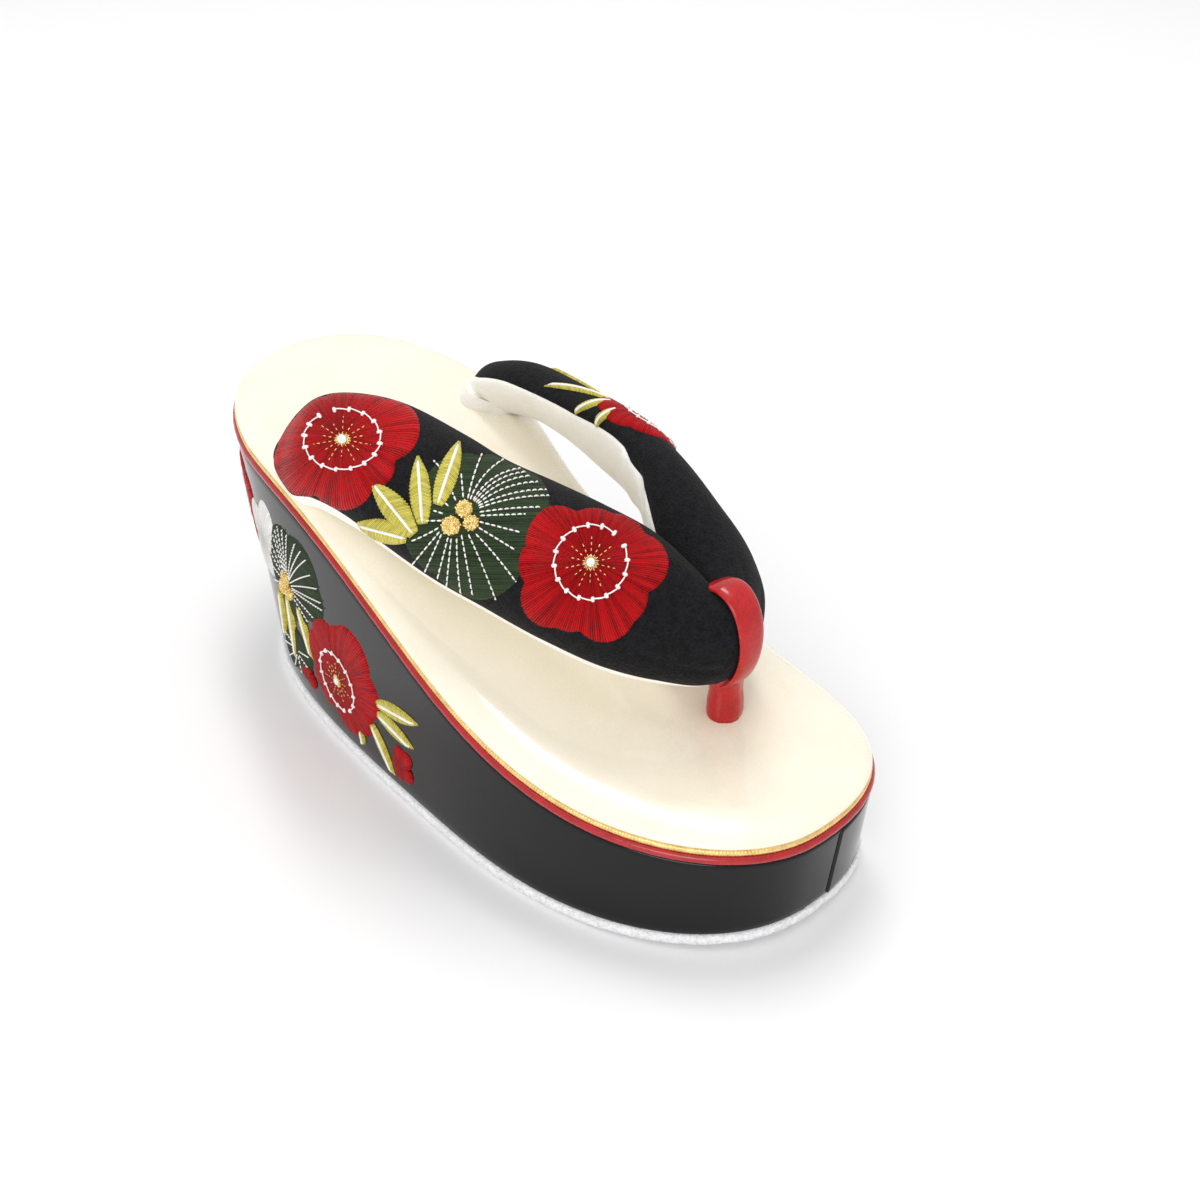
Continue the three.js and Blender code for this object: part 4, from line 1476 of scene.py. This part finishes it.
def wall_embroidery():
    tree = wall_tree()
    side = Silks("wall", Hoop(tree, **WALL_HOOP))
    lobed_patch(side.bits["white_silk"], side.hoop, **HEEL_FAN)
    side.pine(**WALL_PINE)
    side.pine(**LOW_PINE)
    side.leaves(WALL_LEAVES)
    for centre, lobes in WALL_BUDS:
        side.bud(centre, lobes)
    side.plum(**WALL_PLUM)
    side.pieces()
    right, up, _ = facing_axes(HEEL_HOOP["face"])
    heel = Silks("heel", Hoop(tree, HEEL_HOOP["at"], right, up))
    heel.leaves(HEEL_LEAVES)
    heel.plum(**HEEL_PLUM)
    heel.pieces()


# Thong

LOOP_WIDTHS = [(0, 4.6), (60, 4.2), (90, 3.8), (120, 3.5), (165, 3.3), (195, 3.3), (240, 3.7), (300, 4.3),
               (360, 4.6)]
LOOP_STEPS = 160
LOOP_SIDES = 32
LOOP_EDGE = {"power": 0.55, "roll": 0.55, "middle": 0.5, "crown": 0.35}
LOOP_FOLD = {"depth": 0.35, "at": 150, "reach": 18, "waves": 7}
STEM = {"x": 75, "y": 15.5, "top": 52.5, "sunk": 0.8, "steps": 40, "sides": 48}
STEM_FOLDS = [(0.5, 0.16, 0.05), (5.6, 0.2, 0.04)]  # angle, width, depth
STEM_RINGS = [  # share of the way up, half width across, half depth
    (-0.12, 5.0, 4.2),
    (0.0, 5.1, 4.3),
    (0.15, 5.3, 4.6),
    (0.4, 5.2, 4.5),
    (0.65, 4.8, 4.1),
    (0.85, 4.9, 4.2),
    (1.0, 5.5, 4.7),
    (1.12, 4.6, 4.0),
]


def loop_band(bits):
    """The leather band round the joint, its edges rolled and its front a little crowned."""
    turn = round_angles(LOOP_STEPS)
    section = round_angles(LOOP_SIDES)
    widths = np.array(LOOP_WIDTHS, float)
    half = np.interp(np.degrees(turn), widths[:, 0], widths[:, 1])
    across = signed_power(np.cos(section), LOOP_EDGE["power"])
    rolled = np.sin(section) * LOOP["thick"] * LOOP_EDGE["roll"] + LOOP["thick"] * LOOP_EDGE["middle"]
    crown = LOOP_EDGE["crown"] * (1 - across ** 2)
    rings = []
    for angle, wide in zip(turn, half):
        ahead = LOOP["deep"] * math.sin(angle)
        above = LOOP["high"] * math.cos(angle)
        way = np.array([math.sin(angle) / LOOP["deep"], math.cos(angle) / LOOP["high"]])
        way /= np.linalg.norm(way)
        near = math.exp(-((math.degrees(angle) - LOOP_FOLD["at"]) / LOOP_FOLD["reach"]) ** 2)
        fold = LOOP_FOLD["depth"] * near * np.cos(across * LOOP_FOLD["waves"])
        depth = rolled + crown + fold
        forward, upward = ahead + way[0] * depth, above + way[1] * depth
        x = LOOP["x"] + forward * LOOP_LEVEL - upward * LOOP_TILT
        z = LOOP["z"] + forward * LOOP_TILT + upward * LOOP_LEVEL
        rings.append(np.stack([x, LOOP["y"] + across * wide, z], axis=-1))
    bits.tube(rings)


def stem(bits):
    """The stem that goes down between the toes into the footbed."""
    rows = np.array(STEM_RINGS, float)
    angle = round_angles(STEM["sides"])
    foot = float(foot_top(np.array(STEM["x"]))) - STEM["sunk"]
    fold = 1
    for at, width, depth in STEM_FOLDS:
        fold = fold - depth * bell(angle - at, width)
    rings = []
    for level in np.linspace(rows[0, 0], rows[-1, 0], STEM["steps"]):
        wide = np.interp(level, rows[:, 0], rows[:, 1])
        deep = np.interp(level, rows[:, 0], rows[:, 2])
        x = STEM["x"] + deep * fold * np.cos(angle)
        y = STEM["y"] + wide * fold * np.sin(angle)
        height = np.full(STEM["sides"], foot + (STEM["top"] - foot) * level)
        rings.append(np.stack([x, y, height], axis=-1))
    bits.rings(rings)


def thong():
    band = Bits()
    loop_band(band)
    band.piece("thong_loop", FINISH["red_leather"], "red_leather", "thong")
    post = Bits()
    stem(post)
    post.piece("thong_stem", FINISH["red_leather"], "red_leather")


# Stage

FLOOR_REACH = 3.0
FLOOR_TONES = (linear(241, 241, 242), linear(246, 246, 247))
SKY_TONE = (1.0, 0.995, 0.985, 1.0)
SKY_STRENGTH = 0.84
LIGHT_AIM = Vector((0, 0, 0.05))
LIGHTS = [  # name, place in metres, size in metres, power in watts
    ("rail_left", (-0.72, 0.46, 1.4), 0.3, 2.3),
    ("rail_middle", (-0.45, 0.4, 1.5), 0.3, 2.1),
    ("rail_right", (-0.18, 0.34, 1.55), 0.3, 2.1),
    ("ceiling", (-0.1, 0.0, 1.7), 1.6, 2.4),
    ("bounce_front", (0.9, -1.3, 0.8), 1.0, 9),
]


def floor():
    mesh = bpy.data.meshes.new("floor")
    corners = [(-FLOOR_REACH, -FLOOR_REACH, 0), (FLOOR_REACH, -FLOOR_REACH, 0),
               (FLOOR_REACH, FLOOR_REACH, 0), (-FLOOR_REACH, FLOOR_REACH, 0)]
    mesh.from_pydata(corners, [], [(0, 1, 2, 3)])
    finish, wire, shader = new_finish("pale_floor", Roughness=0.6, Specular_IOR_Level=0.2)
    noise = wire.put("ShaderNodeTexNoise", Scale=6.0, Detail=2.0)
    wire.feed(shader, "Base Color", wire.mix(noise.outputs["Fac"], *FLOOR_TONES))
    mesh.materials.append(finish)
    plane = scene_object("floor", mesh)
    plane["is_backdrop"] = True


def lights():
    world = bpy.data.worlds.new("studio")
    world.use_nodes = True
    backdrop = world.node_tree.nodes["Background"]
    backdrop.inputs["Color"].default_value = SKY_TONE
    backdrop.inputs["Strength"].default_value = SKY_STRENGTH
    bpy.context.scene.world = world
    for name, place, size, power in LIGHTS:
        lamp = bpy.data.lights.new(name, "AREA")
        lamp.shape = "DISK"
        lamp.size = size
        lamp.energy = power
        lamp_object = scene_object(name, lamp)
        lamp_object.location = place
        way = LIGHT_AIM - Vector(place)
        lamp_object.rotation_euler = way.to_track_quat("-Z", "Y").to_euler()


SENSOR_MM = 36
NEAREST = 0.02


def camera():
    right, up, back = camera_axes()
    lens = bpy.data.cameras.new("camera")
    lens.sensor_fit = "HORIZONTAL"
    lens.sensor_width = SENSOR_MM
    lens.lens = FOCAL_PX / PHOTO_PX * SENSOR_MM
    lens.clip_start = NEAREST
    view = scene_object("camera", lens)
    turn = Matrix((right, up, back)).transposed().to_4x4()
    view.matrix_world = Matrix.Translation(Vector(EYE) * MM) @ turn
    bpy.context.scene.camera = view
    bpy.context.scene.view_settings.view_transform = "Standard"


camera()
lights()
floor()
outsole()
wedge()
red_piping()
gold_piping()
footbed()
outer_tree = strap_piece(OUTER, "strap_outer", "straps")
strap_piece(INNER, "strap_inner")
lining(OUTER, "lining_outer")
lining(INNER, "lining_inner")
thong()
outer_strap_embroidery(outer_tree)
inner_strap_embroidery()
wall_embroidery()

boxes = {"cad": [list(corner) for corner in cad_box],
         "visual": [list(corner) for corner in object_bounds()]}
